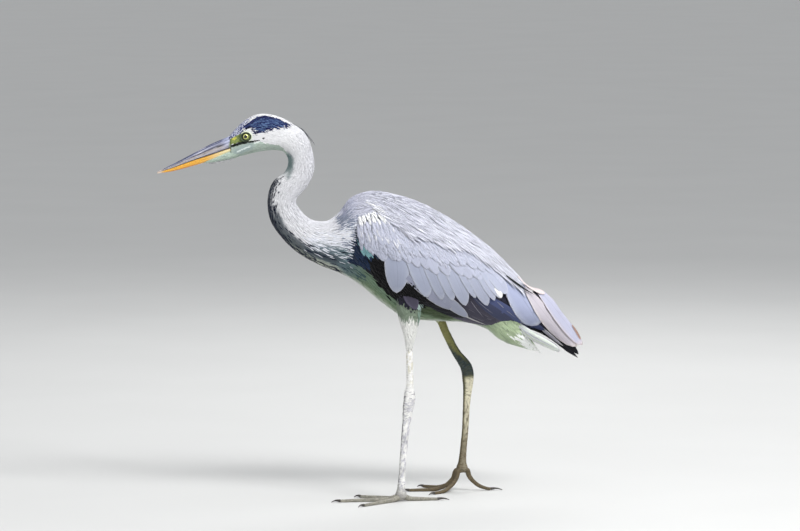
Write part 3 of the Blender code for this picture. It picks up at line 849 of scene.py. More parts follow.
# Borders of the feather tracts of the wing, and of the dark top of the thigh.
WING_FRONT = (
    (-33, 462), (-34, 445), (-32, 430), (-25, 410), (-11, 402), (-3, 391), (5, 386), (7, 364), (13, 342),
    (32, 322),
)
SHOULDER_LINE = (
    (-70, 452), (-25, 449), (-10, 452), (12, 449), (18, 440), (37, 422), (59, 405), (86, 398), (110, 391),
    (140, 384), (162, 378), (184, 361), (203, 350), (225, 333), (246, 318), (275, 312), (340, 300),
)
GREATER_LINE = (
    (-40, 400), (3, 389), (30, 388), (57, 384), (90, 371), (128, 366), (160, 360), (193, 349), (230, 335),
)
BACK_END = 0.262             # how far back, in metres, the back's plumes reach
COVERTS_END = 0.215          # and the roots of the small coverts
THIGH_TOP = ((20, 328), (34, 314), (46, 306), (60, 301), (76, 303), (120, 303))

BODY_LAYERS = (
    (NECK_GREY, 0.8, ("s", 3.0, 6.5), ("turn", 2.9, 0.6)),
    ((136, 141, 168), 0.85, ("s", 12.7, 13.3), ("turn", 1.45, 0.8)),
    (MANTLE, 1, ("s", 13.2, 13.9), ("turn", 1.5, 0.9)),
    (SHADED_BREAST, 1, ("s", 12.3, 14.0), ("turn", 1.3, 2.0), ("z", 0.408, 0.388)),
    ((98, 118, 130), 0.85, ("s", 11.6, 12.4), ("turn", 1.5, 1.9), ("x", -0.005, -0.05)),
    # Painted shade, greener still under the breast; its keel stays whitish, white with painted green
    # reflected light.
    ((120, 138, 98), 0.6, ("s", 13.5, 15), ("turn", 2.5, 2.9)),
    ((196, 202, 194), 0.8, ("s", 12.0, 13.5), ("turn", 2.72, 3.0)),
    ((132, 139, 156), 1, ("in", SHADE_BESIDE_WEDGE), ("on trunk",)),
    ((64, 76, 48), 0.85, ("near", FLANK_SHADE, 14, 6), ("s", 15, 16)),
    ((204, 210, 196), 1, ("near", PALE_BAND, 12, 5), ("s", 10, 11)),
    (SHADE_GREEN, 0.9, ("near", SLATE_SHADE_BAND, 11, 4), ("s", 8.8, 10)),
    ((46, 56, 68), 0.85, ("turn", 2.35, 2.75), ("s", 7.4, 8.0), ("s", 12.6, 10.5)),
    (SHADED_VENT, 1, ("x", 0.165, 0.20), ("s", 18.5, 20), ("beside keel",)),
    (NAVY, 1, ("in", NAVY_PATCH), ("on trunk",)),
    (TEAL_GLINT, 1, ("in", TEAL_GLINT_PATCH), ("on trunk",)),
    (WEDGE_BLACK, 1, ("in", BLACK_WEDGE), ("on trunk",)),
    (SHADED_THROAT, 0.9, ("in", THROAT_SHADE_PATCH), ("s", 7.4, 5.8)),
    # Painted shade at the inner bend of the throat.
    ((104, 124, 130), 0.8, ("turn", 2.1, 2.8), ("s", 4.2, 5.2), ("s", 7.5, 6.3)),
    ((196, 199, 214), 1, ("s", 1.6, 0.9), ("turn", 1.15, 0.95)),
    # Painted shade along the rear of the lit cheek's lower edge, down the neck's front.
    ((86, 110, 112), 0.6, ("near", THROAT_SHADE_LINE[6:], 5, 1), ("s", 3.8, 4.8)),
    # Bluer painted shade round the first highlight, then the painted highlights themselves.
    ((152, 170, 176), 0.5, ("in", THROAT_SHADE_PATCH), ("near", CHEEK_GLINTS[0], 8, 3)),
    ((232, 240, 236), 0.85, ("near", CHEEK_GLINTS[0], 1.5, 0.9)),
    ((232, 240, 236), 0.85, ("near", CHEEK_GLINTS[1], 1.5, 0.9)),
    (CROWN, 1, ("in", CROWN_PATCH), ("beside crown",)),
    # Nearly black along the gape: painted shade in its crease.
    ((14, 24, 16), 1, ("from gape", 1.3, 0.8)),
    (BLACK, 1, ("near", EAR_DOT, 1.6, 0.8)),
)


def body_marks(x, z, s, a):
    """Colour of skin and coat on head, neck and trunk, by place. The two sides are alike."""
    turn = off_back(a)
    gape_width = np.interp(x / MM, (-230, -215, -200, -189, -180), (1.5, 2.0, 2.4, 1.3, 0.5))
    places = {
        "x": x, "z": z, "s": s, "turn": turn, "on trunk": s > 12, "beside crown": turn > 0.3,
        "beside keel": 1 - 0.7 * ramp(turn, 2.72, 3.0), "from gape": near_line(x, z, GAPE_LINE) / gape_width,
    }
    return layered(WHITE, BODY_LAYERS, places)


def rear(lean=0.0):
    """Heading along the body to the tail, leaning to the belly."""
    return lambda p, along, belly: along + np.reshape(lean, (-1, 1)) * belly


def bearing(x, z, y=0.0):
    """Heading in one direction of the room. y is outwards on both sides."""
    def heading(p, along, belly):
        side = np.where(p[:, 1] < 0, -1.0, 1.0)
        return np.stack([x + 0 * side, y * side, z + 0 * side], 1)
    return heading


def tilt(heading, rng, count, share):
    """A heading that each feather turns from by its own small amount."""
    turn = rng.normal(0, share, count)[:, None]

    def turned(p, along, belly):
        way = unit(heading(p, along, belly))
        return way + turn * unit(np.cross(way, np.cross(along, belly)))
    return turned


def shown_at(surface, s, a, reach):
    """(x, z, s) of the places that lie reach millimetres along a surface from (s, a): where feathers' tips
    show."""
    along = surface.frame(s, a)[1]
    s = s + reach * MM / np.linalg.norm(along, axis=-1)
    p = surface.point(s, a)
    return p[..., 0], p[..., 2], s


def body_depth(s):
    """How far in millimetres the skin lies under the solids' surface along the body."""
    return np.interp(s, (0, 1.2, 2.2, 4, 8, 13, 15, 20, 23), (0.7, 0.8, 1.6, 2.2, 2.4, 3.2, 5, 5, 2.5))


def blotches(rng, rows, sides, coarse_rows, coarse_sides, low, high):
    """Irregular spots of strength 0 to 1 on a grid that closes sideways: random numbers on a coarse grid,
    smoothly read between, and cut at two levels."""
    coarse = rng.random((coarse_rows + 1, coarse_sides))
    v = np.linspace(0, coarse_rows - 1e-6, rows)[:, None]
    u = np.linspace(0, coarse_sides, sides, endpoint=False)[None, :]
    i, j = v.astype(int), u.astype(int)
    t, w = (f * f * (3 - 2 * f) for f in (v - i, u - j))
    k = (j + 1) % coarse_sides
    upper, lower = (coarse[row, j] * (1 - w) + coarse[row, k] * w for row in (i, i + 1))
    return ramp(upper * (1 - t) + lower * t, low, high)


def scutes(s_mm, a, long, round_count):
    """Height of a leg's scales from -1 to 0: broad plates down the front, and a net of smaller ones
    behind."""
    plate = s_mm / long
    front = -np.exp(-((plate - np.round(plate)) * long / 0.35) ** 2)
    row = np.floor(s_mm / 1.7)
    off = (s_mm / 1.7 - row) - 0.5
    cell = a / (2 * PI) * round_count + 0.5 * (row % 2)
    side = np.abs(cell - np.round(cell)) * 2
    net = -np.maximum(np.exp(-((0.5 - np.abs(off)) / 0.14) ** 2), np.exp(-((1 - side) / 0.22) ** 2))
    forward = ramp(np.cos(a), 0.35, 0.6)
    return front * forward + net * 0.6 * (1 - forward)


LEFT_LEG_LAYERS = (
    ((206, 202, 180), 0.7, ("spots",), ("z", 0.17, 0.20)),
    ((178, 177, 190), 0.55, ("spots",), ("z", 0.19, 0.15)),
    ((132, 130, 142), 0.55, ("fine spots",), ("z", 0.185, 0.14)),
    ((120, 118, 124), 0.6, ("about", "z", 0.166, 0.012, 0.0), ("spots",)),
    # Painted shade down the front of the left ankle.
    ((70, 68, 74), 0.75, ("front", 0.72, 0.97), ("z", 0.172, 0.16), ("soft spots",)),
    ((150, 147, 140), 0.8, ("z", 0.03, 0.008)),
)
RIGHT_LEG_LAYERS = (
    ((100, 96, 52), 0.35, ("spots",)),
    ((214, 208, 182), 1, ("z", 0.186, 0.177), ("front", 0.85, 0.4)),
    (DARK_LEG, 1, ("dark spots",)),
    (DARK_LEG, 0.5, ("fine spots",), ("z", 0.25, 0.22)),
    (DARK_LEG, 0.8, ("front", -0.5, -0.85), ("z", 0.262, 0.235), ("z", 0.18, 0.187)),
    ((82, 96, 98), 0.35, ("fine spots",), ("dark",)),
    ((52, 48, 40), 0.85, ("front", 0.55, 0.9), ("z", 0.2, 0.18)),
    ((140, 128, 104), 0.45, ("spots",), ("z", 0.17, 0.12)),
    ((84, 72, 52), 0.6, ("fine spots",), ("z", 0.17, 0.12)),
    (BROWN_LEG, 1, ("z", 0.125, 0.07), ("faint spots",)),
)


def leg_tint(name, z, a, spots, fine):
    """Colour down a leg: the left is pale with violet-grey spots, painted as lit, and the right olive with a
    dark ankle and a brown foot, painted as in shade."""
    front = np.cos(a)
    dark = ramp(z, 0.178, 0.187) * ramp(z, 0.232 + 0.02 * front, 0.208 + 0.016 * front)
    places = {
        "z": z, "front": front, "dark": dark, "spots": spots, "soft spots": 0.5 + 0.5 * spots,
        "dark spots": np.clip(dark * (0.9 + 0.2 * spots), 0, 1), "fine spots": fine,
        "faint spots": 0.8 + 0.2 * fine,
    }
    base, layers = (LIT_PALE_LEG, LEFT_LEG_LAYERS) if name == "left" else (SHADED_OLIVE_LEG, RIGHT_LEG_LAYERS)
    return layered(base, layers, places)


def toe_lines():
    """Side, middle line, radius, heading, length and claw's length of each toe. A toe falls from the foot's
    height to the floor as the square of what is left of its way there, and its rings lie an even step apart
    along it."""
    rings = 7
    share = np.linspace(0, 1, rings)
    for name, (x, lift, landing, turned) in FEET.items():
        side = SIDES[name]
        for _, heading, length, claw in TOES:
            angle = math.radians(heading + turned)
            ahead = np.array([-math.cos(angle), side * math.sin(angle), 0.0])
            taper = MM * (TOE_RADIUS[0] + (TOE_RADIUS[1] - TOE_RADIUS[0]) * share)
            root = np.exp(-share * length / 6)
            radius = taper * (1 + 0.12 * root)
            fall = np.clip(share * length / landing, 0, 1)
            drop = (lift - FEET["left"][1] + 2) * MM * (1 - fall) ** 2
            height = radius * 0.8 + drop
            # The reach is that of the solid toe, whose root is half as thick.
            flat = (length * MM / (rings - 1)) ** 2 - np.diff(taper * (1 - 0.5 * root) * 0.8 + drop) ** 2
            run = TOE_START * MM + np.concatenate([[0.0], np.cumsum(np.sqrt(np.maximum(flat, 1e-7)))])
            foot = np.array([x, side * FOOT_SPREAD, 0.0]) * MM
            centres = foot + run[:, None] * ahead + height[:, None] * (0, 0, 1)
            yield name, centres, radius, ahead, length, claw * MM


def resample(values, count):
    """values at count even steps along, on smooth cubics."""
    table = hermite(np.hstack([values, np.arange(len(values))[:, None]]), 16, lead=slice(0, 3))
    return read(table, np.linspace(0, len(table) - 1, count))[:, :-1]


# Rows of the skin along the body as (first, last, count), closest on the face.
SKIN_ROWS = ((0.02, 1.7, 84), (1.75, 5, 34), (5.1, 23, 110))
LORE_LAYERS = (
    (LORES, 0.95, ("bare",)),
    ((30, 46, 22), 0.85, ("bare",), ("from eye", 14, 8)),
    ((226, 218, 90), 1, ("bare",), ("near", LORE_GLINT, 2.6, 0.8)),
    ((44, 58, 26), 0.8, ("bare",), ("lump", 0.0, 0.6)),
    ((186, 200, 120), 0.5, ("bare",), ("lump", -0.3, -0.8)),
)


def make_skin():
    """One skin over all flesh: body, chin, wings, tail, lids, legs and toes. On the head it rises on the
    lumps of the bare lores, and sinks in their hollow and along the crease of the gape."""
    skin = Mesh()
    s = np.concatenate([np.linspace(*row) for row in SKIN_ROWS])[:, None]
    a = all_round(128)
    p = BODY.point(s, a, -body_depth(s) * MM)
    surface = BODY.point(s, a)
    x, z = surface[..., 0], surface[..., 2]
    bare = inside(x, z, LORE_PATCH)
    lump = np.sin(x * 2500 + 5 * np.sin(z * 1300)) * np.sin(z * 2300 + 2 * np.sin(x * 1100))
    from_eye = np.hypot(x / MM - EYE_CENTRE[0], z / MM - EYE_CENTRE[2])
    places = {"x": x, "z": z, "bare": bare, "lump": lump, "from eye": from_eye}
    tints = layered(body_marks(x, z, s + 0 * a, a + 0 * s), LORE_LAYERS, places)
    hollow = ramp(near_line(x, z, LORE_HOLLOW), 8, 1) * 0.9
    crease = ramp(near_line(x, z, GAPE_LINE), 1.6, 0.3) * 0.9
    rise = bare * ((0.5 + 0.12 * lump) * ramp(from_eye, 8, 10) - hollow) - crease
    p[..., 1] += np.sign(p[..., 1]) * rise * (off_back(a) > 0.5) * MM
    add_grid(skin, p, tints)
    for surface, ends, count, depth, tint in (
        (CHIN, (0.03, 2.9), 40, 0.5, SHADED_THROAT), (TAIL, (0, 2.4), 30, 3, linear(120, 122, 134)),
    ):
        p = surface.point(np.linspace(*ends, count)[:, None], all_round(40), -depth * MM)
        add_grid(skin, p, np.broadcast_to(tint, p.shape))
    add_wing_skins(skin)
    add_lids(skin)
    add_legs(skin)
    flesh = ["head", "neck_upper", "neck_middle", "neck_lower", "trunk", "crest", "wing_left", "wing_right",
             "tail"]
    for side in ("left", "right"):
        flesh += [part + side for part in ("thigh_", "shank_", "tarsus_")]
        flesh += [f"toe_{toe}_{side}" for toe, *_ in TOES]
    skin.build("skin", skin_material("skin_bare", 260.0, 0.6, 0.35), "leg_scale", flesh)


def add_wing_skins(skin):
    """Each wing's flesh: an arc under the covert feathers, from the wrist back, with a rounded border."""
    s = np.linspace(0.15, 7.5, 70)
    c = CLOAK.columns(s)
    span = (1 - np.cos(PI * np.linspace(0.06, 0.82, 24))) / 2
    share = c[:, 6:7] + (c[:, 7:8] - c[:, 6:7]) * span
    turn = np.arccos(np.clip(1 - 2 * share, -1, 1))
    ends = np.sqrt(np.clip(np.sin(PI * (s - s[0]) / (s[-1] - s[0])), 0, 1))[:, None]
    rim = np.sqrt(np.sin(PI * np.linspace(0, 1, 24)))[None, :]
    for side in (-1, 1):
        outer = CLOAK.point(s[:, None], side * turn, -6 * MM)
        inner = outer.copy()
        outer[..., 1] -= side * 3 * MM * (1 - ends * rim)
        inner[..., 1] -= side * (3 * MM + 4 * MM * ends * rim)
        for p in (outer, inner):
            p[..., 1] = side * np.maximum(side * p[..., 1], 0.5 * MM)
        ring = np.concatenate([outer, inner[:, ::-1]], axis=1)
        if side > 0:
            ring = ring[:, ::-1]
        add_grid(skin, ring[:, ::-1], np.broadcast_to(SLATE, ring.shape))


LID_LAYERS = (
    ((14, 16, 12), 1, ("share", 0.22, 0.08)),
    ((92, 112, 70), 0.6, ("share", 0.42, 0.6), ("to tail", -0.2, -0.8)),
    ((222, 230, 206), 1, ("share", 0.6, 0.7), ("behind",)),
)


def add_lids(skin):
    """Bare ring round each eye. Its height over the side of the head falls from the lid's rounded edge, where
    it lies on the eyeball, to the skin outside, and its outline is an oval a little longer than high."""
    cx, cy, cz = (v * MM for v in EYE_CENTRE)
    share = np.linspace(0, 1, 22)[:, None]
    turn = all_round(72)
    reach = MM * (LID_REACH[0] + (LID_REACH[1] - LID_REACH[0]) * share)
    x = cx + reach * np.cos(turn) * EYE_OVAL[0]
    z = cz + reach * np.sin(turn) * EYE_OVAL[1]
    s, a = BODY.locate(x, z)
    side_y = BODY.point(s, a, -body_depth(s) * MM)[..., 1]
    ball = cy + np.sqrt(np.maximum((EYE_RADIUS * MM) ** 2 - (reach * 0.99) ** 2, 0)) + 0 * turn
    lip = 1.1 * np.exp(-((share - 0.13) / 0.10) ** 2)
    folds = 0.16 * np.sin(share * 26 + 0.6 * np.sin(3 * turn))
    folds = folds * ramp(share, 0.25, 0.4) * ramp(share, 1.0, 0.8)
    rim = 0.4 * np.exp(-((share - 0.78) / 0.10) ** 2)
    settle = ramp(share, 0.05, 0.45)
    y = (ball - 0.4 * MM) * (1 - settle) + (side_y + 0.8 * MM) * settle
    y = y + (lip + folds + rim - 1.6 * ramp(share, 0.88, 1)) * MM
    behind = np.maximum(ramp(np.cos(turn), 0.35, 0.75), ramp(np.sin(turn), 0.45, 0.8))
    places = {"share": share, "to tail": np.cos(turn), "behind": behind}
    colour = layered(EYE_RING, LID_LAYERS, places)
    tints = np.concatenate([colour, colour[::-1]], axis=0)
    for side in (-1, 1):
        front = np.stack([x, side * y, z], -1)
        back = np.stack([x, side * (y - 1.6 * MM), z], -1)
        sheet = np.concatenate([front, back[::-1]], axis=0)
        add_ring(skin, sheet[:, ::-side], tints[:, ::-side])


# How far down each leg, in metres, its feathers reach, and where they begin to end.
THIGH_COVER = {"left": (0.117, 0.102), "right": (0.075, 0.065)}


def add_legs(skin):
    """Legs from inside the thigh feathers to the foot. Their scales are pressed into the surface, the spots
    stand a little out of it, and the foot's end is drawn together to a rounded heel pad."""
    rng = np.random.default_rng(5)
    sides = 36
    a = all_round(sides)
    for name, leg in LEGS.items():
        s = np.linspace(0.1, int(len(leg.table) / leg.fine), 380)
        line = leg.columns(s)[:, 0:2]
        run = run_along(line)[:, None]
        left = run[-1] - run
        z = line[:, 1:2] + 0 * a
        feathered = ramp(run, *THIGH_COVER[name])
        scale = scutes(run / MM, a, 4.2, 11) * SCALE_DEPTH * (1 - feathered)
        spots = blotches(rng, len(s), sides, 105, 12, 0.42, 0.72)
        fine = blotches(rng, len(s), sides, 190, 18, 0.60, 0.80)
        knobs = 0.18 * (spots - 0.5) * (1 - feathered)
        ending = np.clip(left / 0.0075, 0, 1)
        pad = -7.6 * (1 - np.sqrt(1 - (1 - ending) ** 2)) + 0.9 * np.exp(-((left - 0.009) / 0.006) ** 2)
        p = leg.point(s[:, None], a, (scale + knobs - 3 * feathered + pad) * MM)
        p[..., 2] = np.maximum(p[..., 2], 1.5 * FLOOR_GAP * MM)
        tints = leg_tint(name, z, a + 0 * z, spots, fine) * (1 + scale / SCALE_DEPTH * 0.35)[..., None]
        add_grid(skin, p, np.maximum(tints, 0))
    # The toes go on with the same random draws.
    add_toes(skin, rng)


def add_toes(skin, rng):
    """Toes from inside the foot to the claws: round tubes with plates pressed in above and soft pads
    below."""
    rings, sides = 84, 20
    a = all_round(sides)
    inner = np.array([[-8.0, 0.5], [-4.0, 0.2]]) * MM
    for name, centres, radius, ahead, length, _ in toe_lines():
        first = centres[:1] + ahead * inner[:, :1] + (0, 0, 1) * inner[:, 1:]
        radius = np.concatenate([[3.4 * MM, 4.2 * MM], radius])
        table = resample(np.hstack([np.concatenate([first, centres]), radius[:, None]]), rings)
        middle, r = table[:, :3], table[:, 3:4]
        run = np.linspace(0, length, rings)[:, None]
        plates = scutes(run, a * 0.7, 3.0, 9) * ramp(np.cos(a), -0.5, 0.1)
        pads = 0.5 * np.abs(np.sin(run / length * PI * 3.5)) * ramp(np.cos(a), -0.2, -0.8)
        p = round_horn(middle, ahead, a, r + (0.25 * plates + pads - 0.4) * MM, 1.5 * FLOOR_GAP)
        # The left toes are painted lighter, as lit, and the right brown, as in shade.
        tints = np.broadcast_to(linear(138, 135, 124) if name == "left" else BROWN_LEG, p.shape)
        tints = tints * (1 + plates * 0.4)[..., None]
        tints = tints * (0.85 + 0.3 * blotches(rng, rings, sides, 40, 8, 0.3, 0.7))[..., None]
        add_grid(skin, p, tints)


def round_horn(middle, ahead, a, reach, floor):
    """Rings square to a middle line that heads one way: reach times cos a upwards and sin a sideways, and at
    least floor millimetres high."""
    wide = np.cross((0, 0, 1), ahead)
    above = unit(np.cross(unit(np.gradient(middle, axis=0)), wide))
    p = middle[:, None] + (reach * np.cos(a))[..., None] * above[:, None]
    p = p + (reach * np.sin(a))[..., None] * wide
    p[..., 2] = np.maximum(p[..., 2], floor * MM)
    return p[:, ::-1]


# Coats as (name, first and last row, gaps along and across, length and width of a feather).
HEAD_COATS = (
    ("coat_face", (-0.42, 1.9), 1.45, 1.15, 4.8, 1.35),
    ("coat_head", (1.75, 4.4), 2.0, 1.45, 8.8, 1.9),
)


def make_head_coat():
    """Short feathers of face, crown, cheeks and chin, the smallest round eye and bill, and the nape
    plumes."""
    rng = np.random.default_rng(11)
    material = feather_material("plumage_fine", 0.05, 9.0, 0.22)
    for name, s_range, along, across, long, wide in HEAD_COATS:
        coat = Mesh(0.7)
        s, a = strew(BODY, s_range, (-PI, PI), along, across, rng)
        p = BODY.point(s, a)
        x, z = p[:, 0], p[:, 2]
        turn = np.abs(a)
        from_eye = np.hypot((x / MM - EYE_CENTRE[0]) / EYE_OVAL[0], (z / MM - EYE_CENTRE[2]) / EYE_OVAL[1])
        keep = ~((inside(x, z, LORE_PATCH) | (from_eye < 8.7)) & (turn > 0.5) & (turn < 2.4))
        keep &= ~((near_line(x, z, GAPE_LINE[:3]) < 1.0) & (turn > 0.5))
        keep &= (s > 0) | (turn < 0.9 * (1 + s / 0.45))
        s, a, turn = s[keep], a[keep], turn[keep]
        count = len(s)
        x, z, seen = shown_at(BODY, s, a, 0.7 * long)
        side = turn > 0.5
        tint = body_marks(x, z, seen, a) * vary(rng, count, 0.04)[:, None]
        streaked = (rng.random(count) < 0.45 * ramp(s, 1.8, 0.8)) & (turn < 1.1)
        tint = dabbed(tint, streaked, toned(rng, linear(64, 72, 122), count, 0.5))
        tint = dabbed(tint, side & (near_line(x, z, BROW_LINE) < 2.2), WHITE)
        flecks = side & (near_line(x, z, BROW_FLECKS) < 1.6)
        tint = dabbed(tint, flecks & (rng.random(count) < 0.4), linear(20, 24, 44))
        dark = inside(x, z, CROWN_PATCH) & (turn > 0.3)
        pick = rng.random(count)
        edge = near_line(x, z, (*CROWN_PATCH, CROWN_PATCH[0])) < 3.5
        tint = dabbed(tint, dark & ~edge & (pick < 0.42), linear(84, 108, 146))
        tint = dabbed(tint, dark & (pick > np.where(edge, 0.35, 0.8)), linear(24, 28, 72))
        length = long * vary(rng, count, 0.2) * np.where(dark, 1.45, 1.0) * np.interp(s, (0, 1.2), (0.62, 1))
        width = wide * vary(rng, count, 0.15)
        lean = np.where(turn < 1.2, 0.10, 0.22)
        tract(coat, BODY, s, a, tilt(rear(lean), rng, count, 0.12), length, width,
              (-np.minimum(body_depth(s) * 0.9, 0.75), 0.12), tint, thick=0.10, droop=0.12)
        if name == "coat_face":
            add_chin_feathers(coat, rng)
        else:
            add_crest(coat, rng)
        coat.build(name, material, "plumage")


def add_chin_feathers(coat, rng):
    """Feathers of the chin, and a ragged pale fringe that hangs from it."""
    s, a = strew(CHIN, (0.1, 2.9), (PI * 0.42, PI * 1.58), 1.6, 1.2, rng)
    count = len(s)
    tract(coat, CHIN, s, a, tilt(rear(0.1), rng, count, 0.2), 4.5 * vary(rng, count, 0.3),
          1.2 * vary(rng, count, 0.2), (-0.4, 0.5), toned(rng, SHADED_THROAT * 1.1, count, 0.08))
    count = 90
    s = 0.25 + 1.85 * rng.random(count)
    a = PI + rng.uniform(-0.75, 0.75, count)
    tract(coat, CHIN, s, a, bearing(0.8, -0.45), 6.5 * vary(rng, count, 0.35), 1.3 * vary(rng, count, 0.25),
          (-0.2, 3.0 * vary(rng, count, 0.4)), toned(rng, WHITE, count, 0.05), shape="hair")


# Nape plumes as (row, angle, length, lift of the tip, width).
PLUMES = (
    (4.25, -0.05, 32, 6.5, 2.3), (4.35, 0.06, 27, 3.6, 2.0), (4.2, -0.16, 25, 2.0, 1.9),
    (4.3, 0.15, 24, 1.6, 1.9), (3.7, -0.12, 22, 0.9, 1.8), (3.7, 0.12, 22, 0.9, 1.8),
    (3.2, -0.2, 20, 0.6, 1.7), (3.2, 0.2, 20, 0.6, 1.7),
)


def add_crest(coat, rng):
    """Nape plumes: thin dark blades that leave the nape along its line and stand a little off at their
    tips."""
    for s, a, length, lift, wide in PLUMES:
        tract(coat, BODY, np.array([s]), np.array([a]), rear(), np.array([length]), wide, (-0.6, lift),
              toned(rng, linear(24, 30, 52), 1, 0.2), shape="lance", thick=0.25)


# As HEAD_COATS, with the shape of a feather.
NECK_COATS = (
    ("coat_neck_upper", (4.2, 9.2), 2.6, 1.6, 12.5, 2.1, "down"),
    ("coat_neck_lower", (9.0, 13.8), 3.2, 2.0, 18, 2.6, "lance"),
)


def make_neck_coat():
    """Silky feathers down the neck, with black dashes along its front and long plumes at its foot."""
    rng = np.random.default_rng(23)
    for name, s_range, along, across, long, wide, shape in NECK_COATS:
        coat = Mesh(0.8)
        s, a = strew(BODY, s_range, (-PI, PI), along, across, rng)
        count = len(s)
        turn = np.abs(a)
        x, z, seen = shown_at(BODY, s, a, 0.7 * long)
        tint = body_marks(x, z, seen, a) * vary(rng, count, 0.035)[:, None]
        tint = dabbed(tint, rng.random(count) < 0.12 * ramp(s, 4, 8), tint * 0.88)
        pale = 0.6 * ramp(seen, 11.4, 12) * ramp(turn, 1.1, 1.3) * ramp(turn, 2.5, 1.6)
        tint = dabbed(tint, rng.random(count) < pale, BREAST_WHITE)
        heading = tilt(rear(0.12 * np.sin(turn)), rng, count, 0.07)
        tract(coat, BODY, s, a, heading, long * vary(rng, count, 0.18), wide * vary(rng, count, 0.15),
              (-1.1, 0.1), tint, shape=shape, thick=0.10, droop=0.15)
        add_dashes(coat, rng, s_range)
        coat.build(name, feather_material(name.replace("coat", "plumage"), 0.06, 11.0, 0.16), "plumage")


# Columns of dashes on each side, as (angle from the front, chance of a dash, first row).
DASH_COLUMNS = (
    (0.0, 0.9, 7.4), (0.2, 0.9, 7.4), (0.4, 0.9, 7.4), (0.6, 0.7, 7.0), (0.85, 0.45, 6.9), (1.1, 0.2, 6.9),
)


def add_dashes(coat, rng, s_range):
    """Black marks down the front of the neck: short separate ones above the kink, closing to a ragged line
    below."""
    s = np.arange(6.9, 13.6, 0.07)
    s = s[(s >= s_range[0]) & (s < s_range[1])]
    near = np.interp(s, (6.9, 7.6, 8.0, 8.6, 10, 13.5), (0.3, 0.5, 0.9, 1, 1, 0.8))
    for off, chance, low in DASH_COLUMNS:
        spare = np.interp(s, (9, 11), (1, 0.25)) if off > 0.5 else 1.0
        for side in (-1, 1):
            chosen = s[(rng.random(len(s)) < chance * near * spare) & (s > low)]
            count = len(chosen)
            a = side * (PI - off) + rng.uniform(-0.08, 0.08, count)
            length = np.interp(chosen, (7, 9, 10, 13.5), (7, 8, 12, 22)) * vary(rng, count, 0.25)
            tint = toned(rng, linear(18, 24, 40), count, 0.4)
            heading = tilt(rear(0.02), rng, count, 0.05)
            width = np.interp(chosen, (7, 13), (2.4, 3.0)) * vary(rng, count, 0.2)
            tract(coat, BODY, chosen, a, heading, length, width, (-0.9, 0.4), tint, tint * 2.0, "lance")


# Tracts as (first and last row, angles, gaps along and across, length and width of a feather).
BREAST_TRACTS = (
    ((13.4, 15.2), (0.9, 2 * PI - 0.9), 4.2, 2.8, 20, 3.8),
    ((15.0, 20.6), (1.35, 2 * PI - 1.35), 6.0, 4.0, 26, 5.6),
    ((20.4, 22.3), (1.2, 2 * PI - 1.2), 5.5, 3.8, 20, 5.5),
)


def make_breast_coat():
    """Feathers of breast, flanks, belly and vent. Those before the wing are dark."""
    rng = np.random.default_rng(31)
    coat = Mesh(0.6)
    for s_range, a_range, along, across, long, wide in BREAST_TRACTS:
        s, a = strew(BODY, s_range, a_range, along, across, rng)
        count = len(s)
        turn = off_back(a)
        x, z, seen = shown_at(BODY, s, a, 0.7 * long)
        tint = body_marks(x, z, seen, a) * vary(rng, count, 0.05)[:, None]
        dark = inside(x, z, NAVY_PATCH) | inside(x, z, BLACK_WEDGE)
        tint = dabbed(tint, dark, tint * vary(rng, count, 0.4)[:, None])
        tint = dabbed(tint, inside(x, z, BREAST_STREAKS) & (rng.random(count) < 0.3), linear(66, 88, 90))
        pale = 0.35 * ramp(x, 0.0, -0.04) * ramp(turn, 1.1, 1.3) * ramp(turn, 2.3, 1.8)
        tint = dabbed(tint, rng.random(count) < pale, BREAST_WHITE)
        heading = tilt(rear(0.12 * np.sin(turn)), rng, count, 0.08)
        tract(coat, BODY, s, a, heading, long * vary(rng, count, 0.2), wide * vary(rng, count, 0.15),
              (-1.8, 0.1), tint, tint * 1.08, thick=0.13, droop=0.3)
    coat.build("coat_breast", feather_material("plumage_breast", 0.05, 14.0, 0.16), "plumage")


# As BREAST_TRACTS, without the angles.
BACK_TRACTS = (
    ((0.0, 1.4), 3.8, 2.6, 24, 3.4), ((1.2, 2.6), 4.8, 3.2, 34, 4.2), ((2.4, 6.6), 6.0, 3.8, 46, 4.8),
)


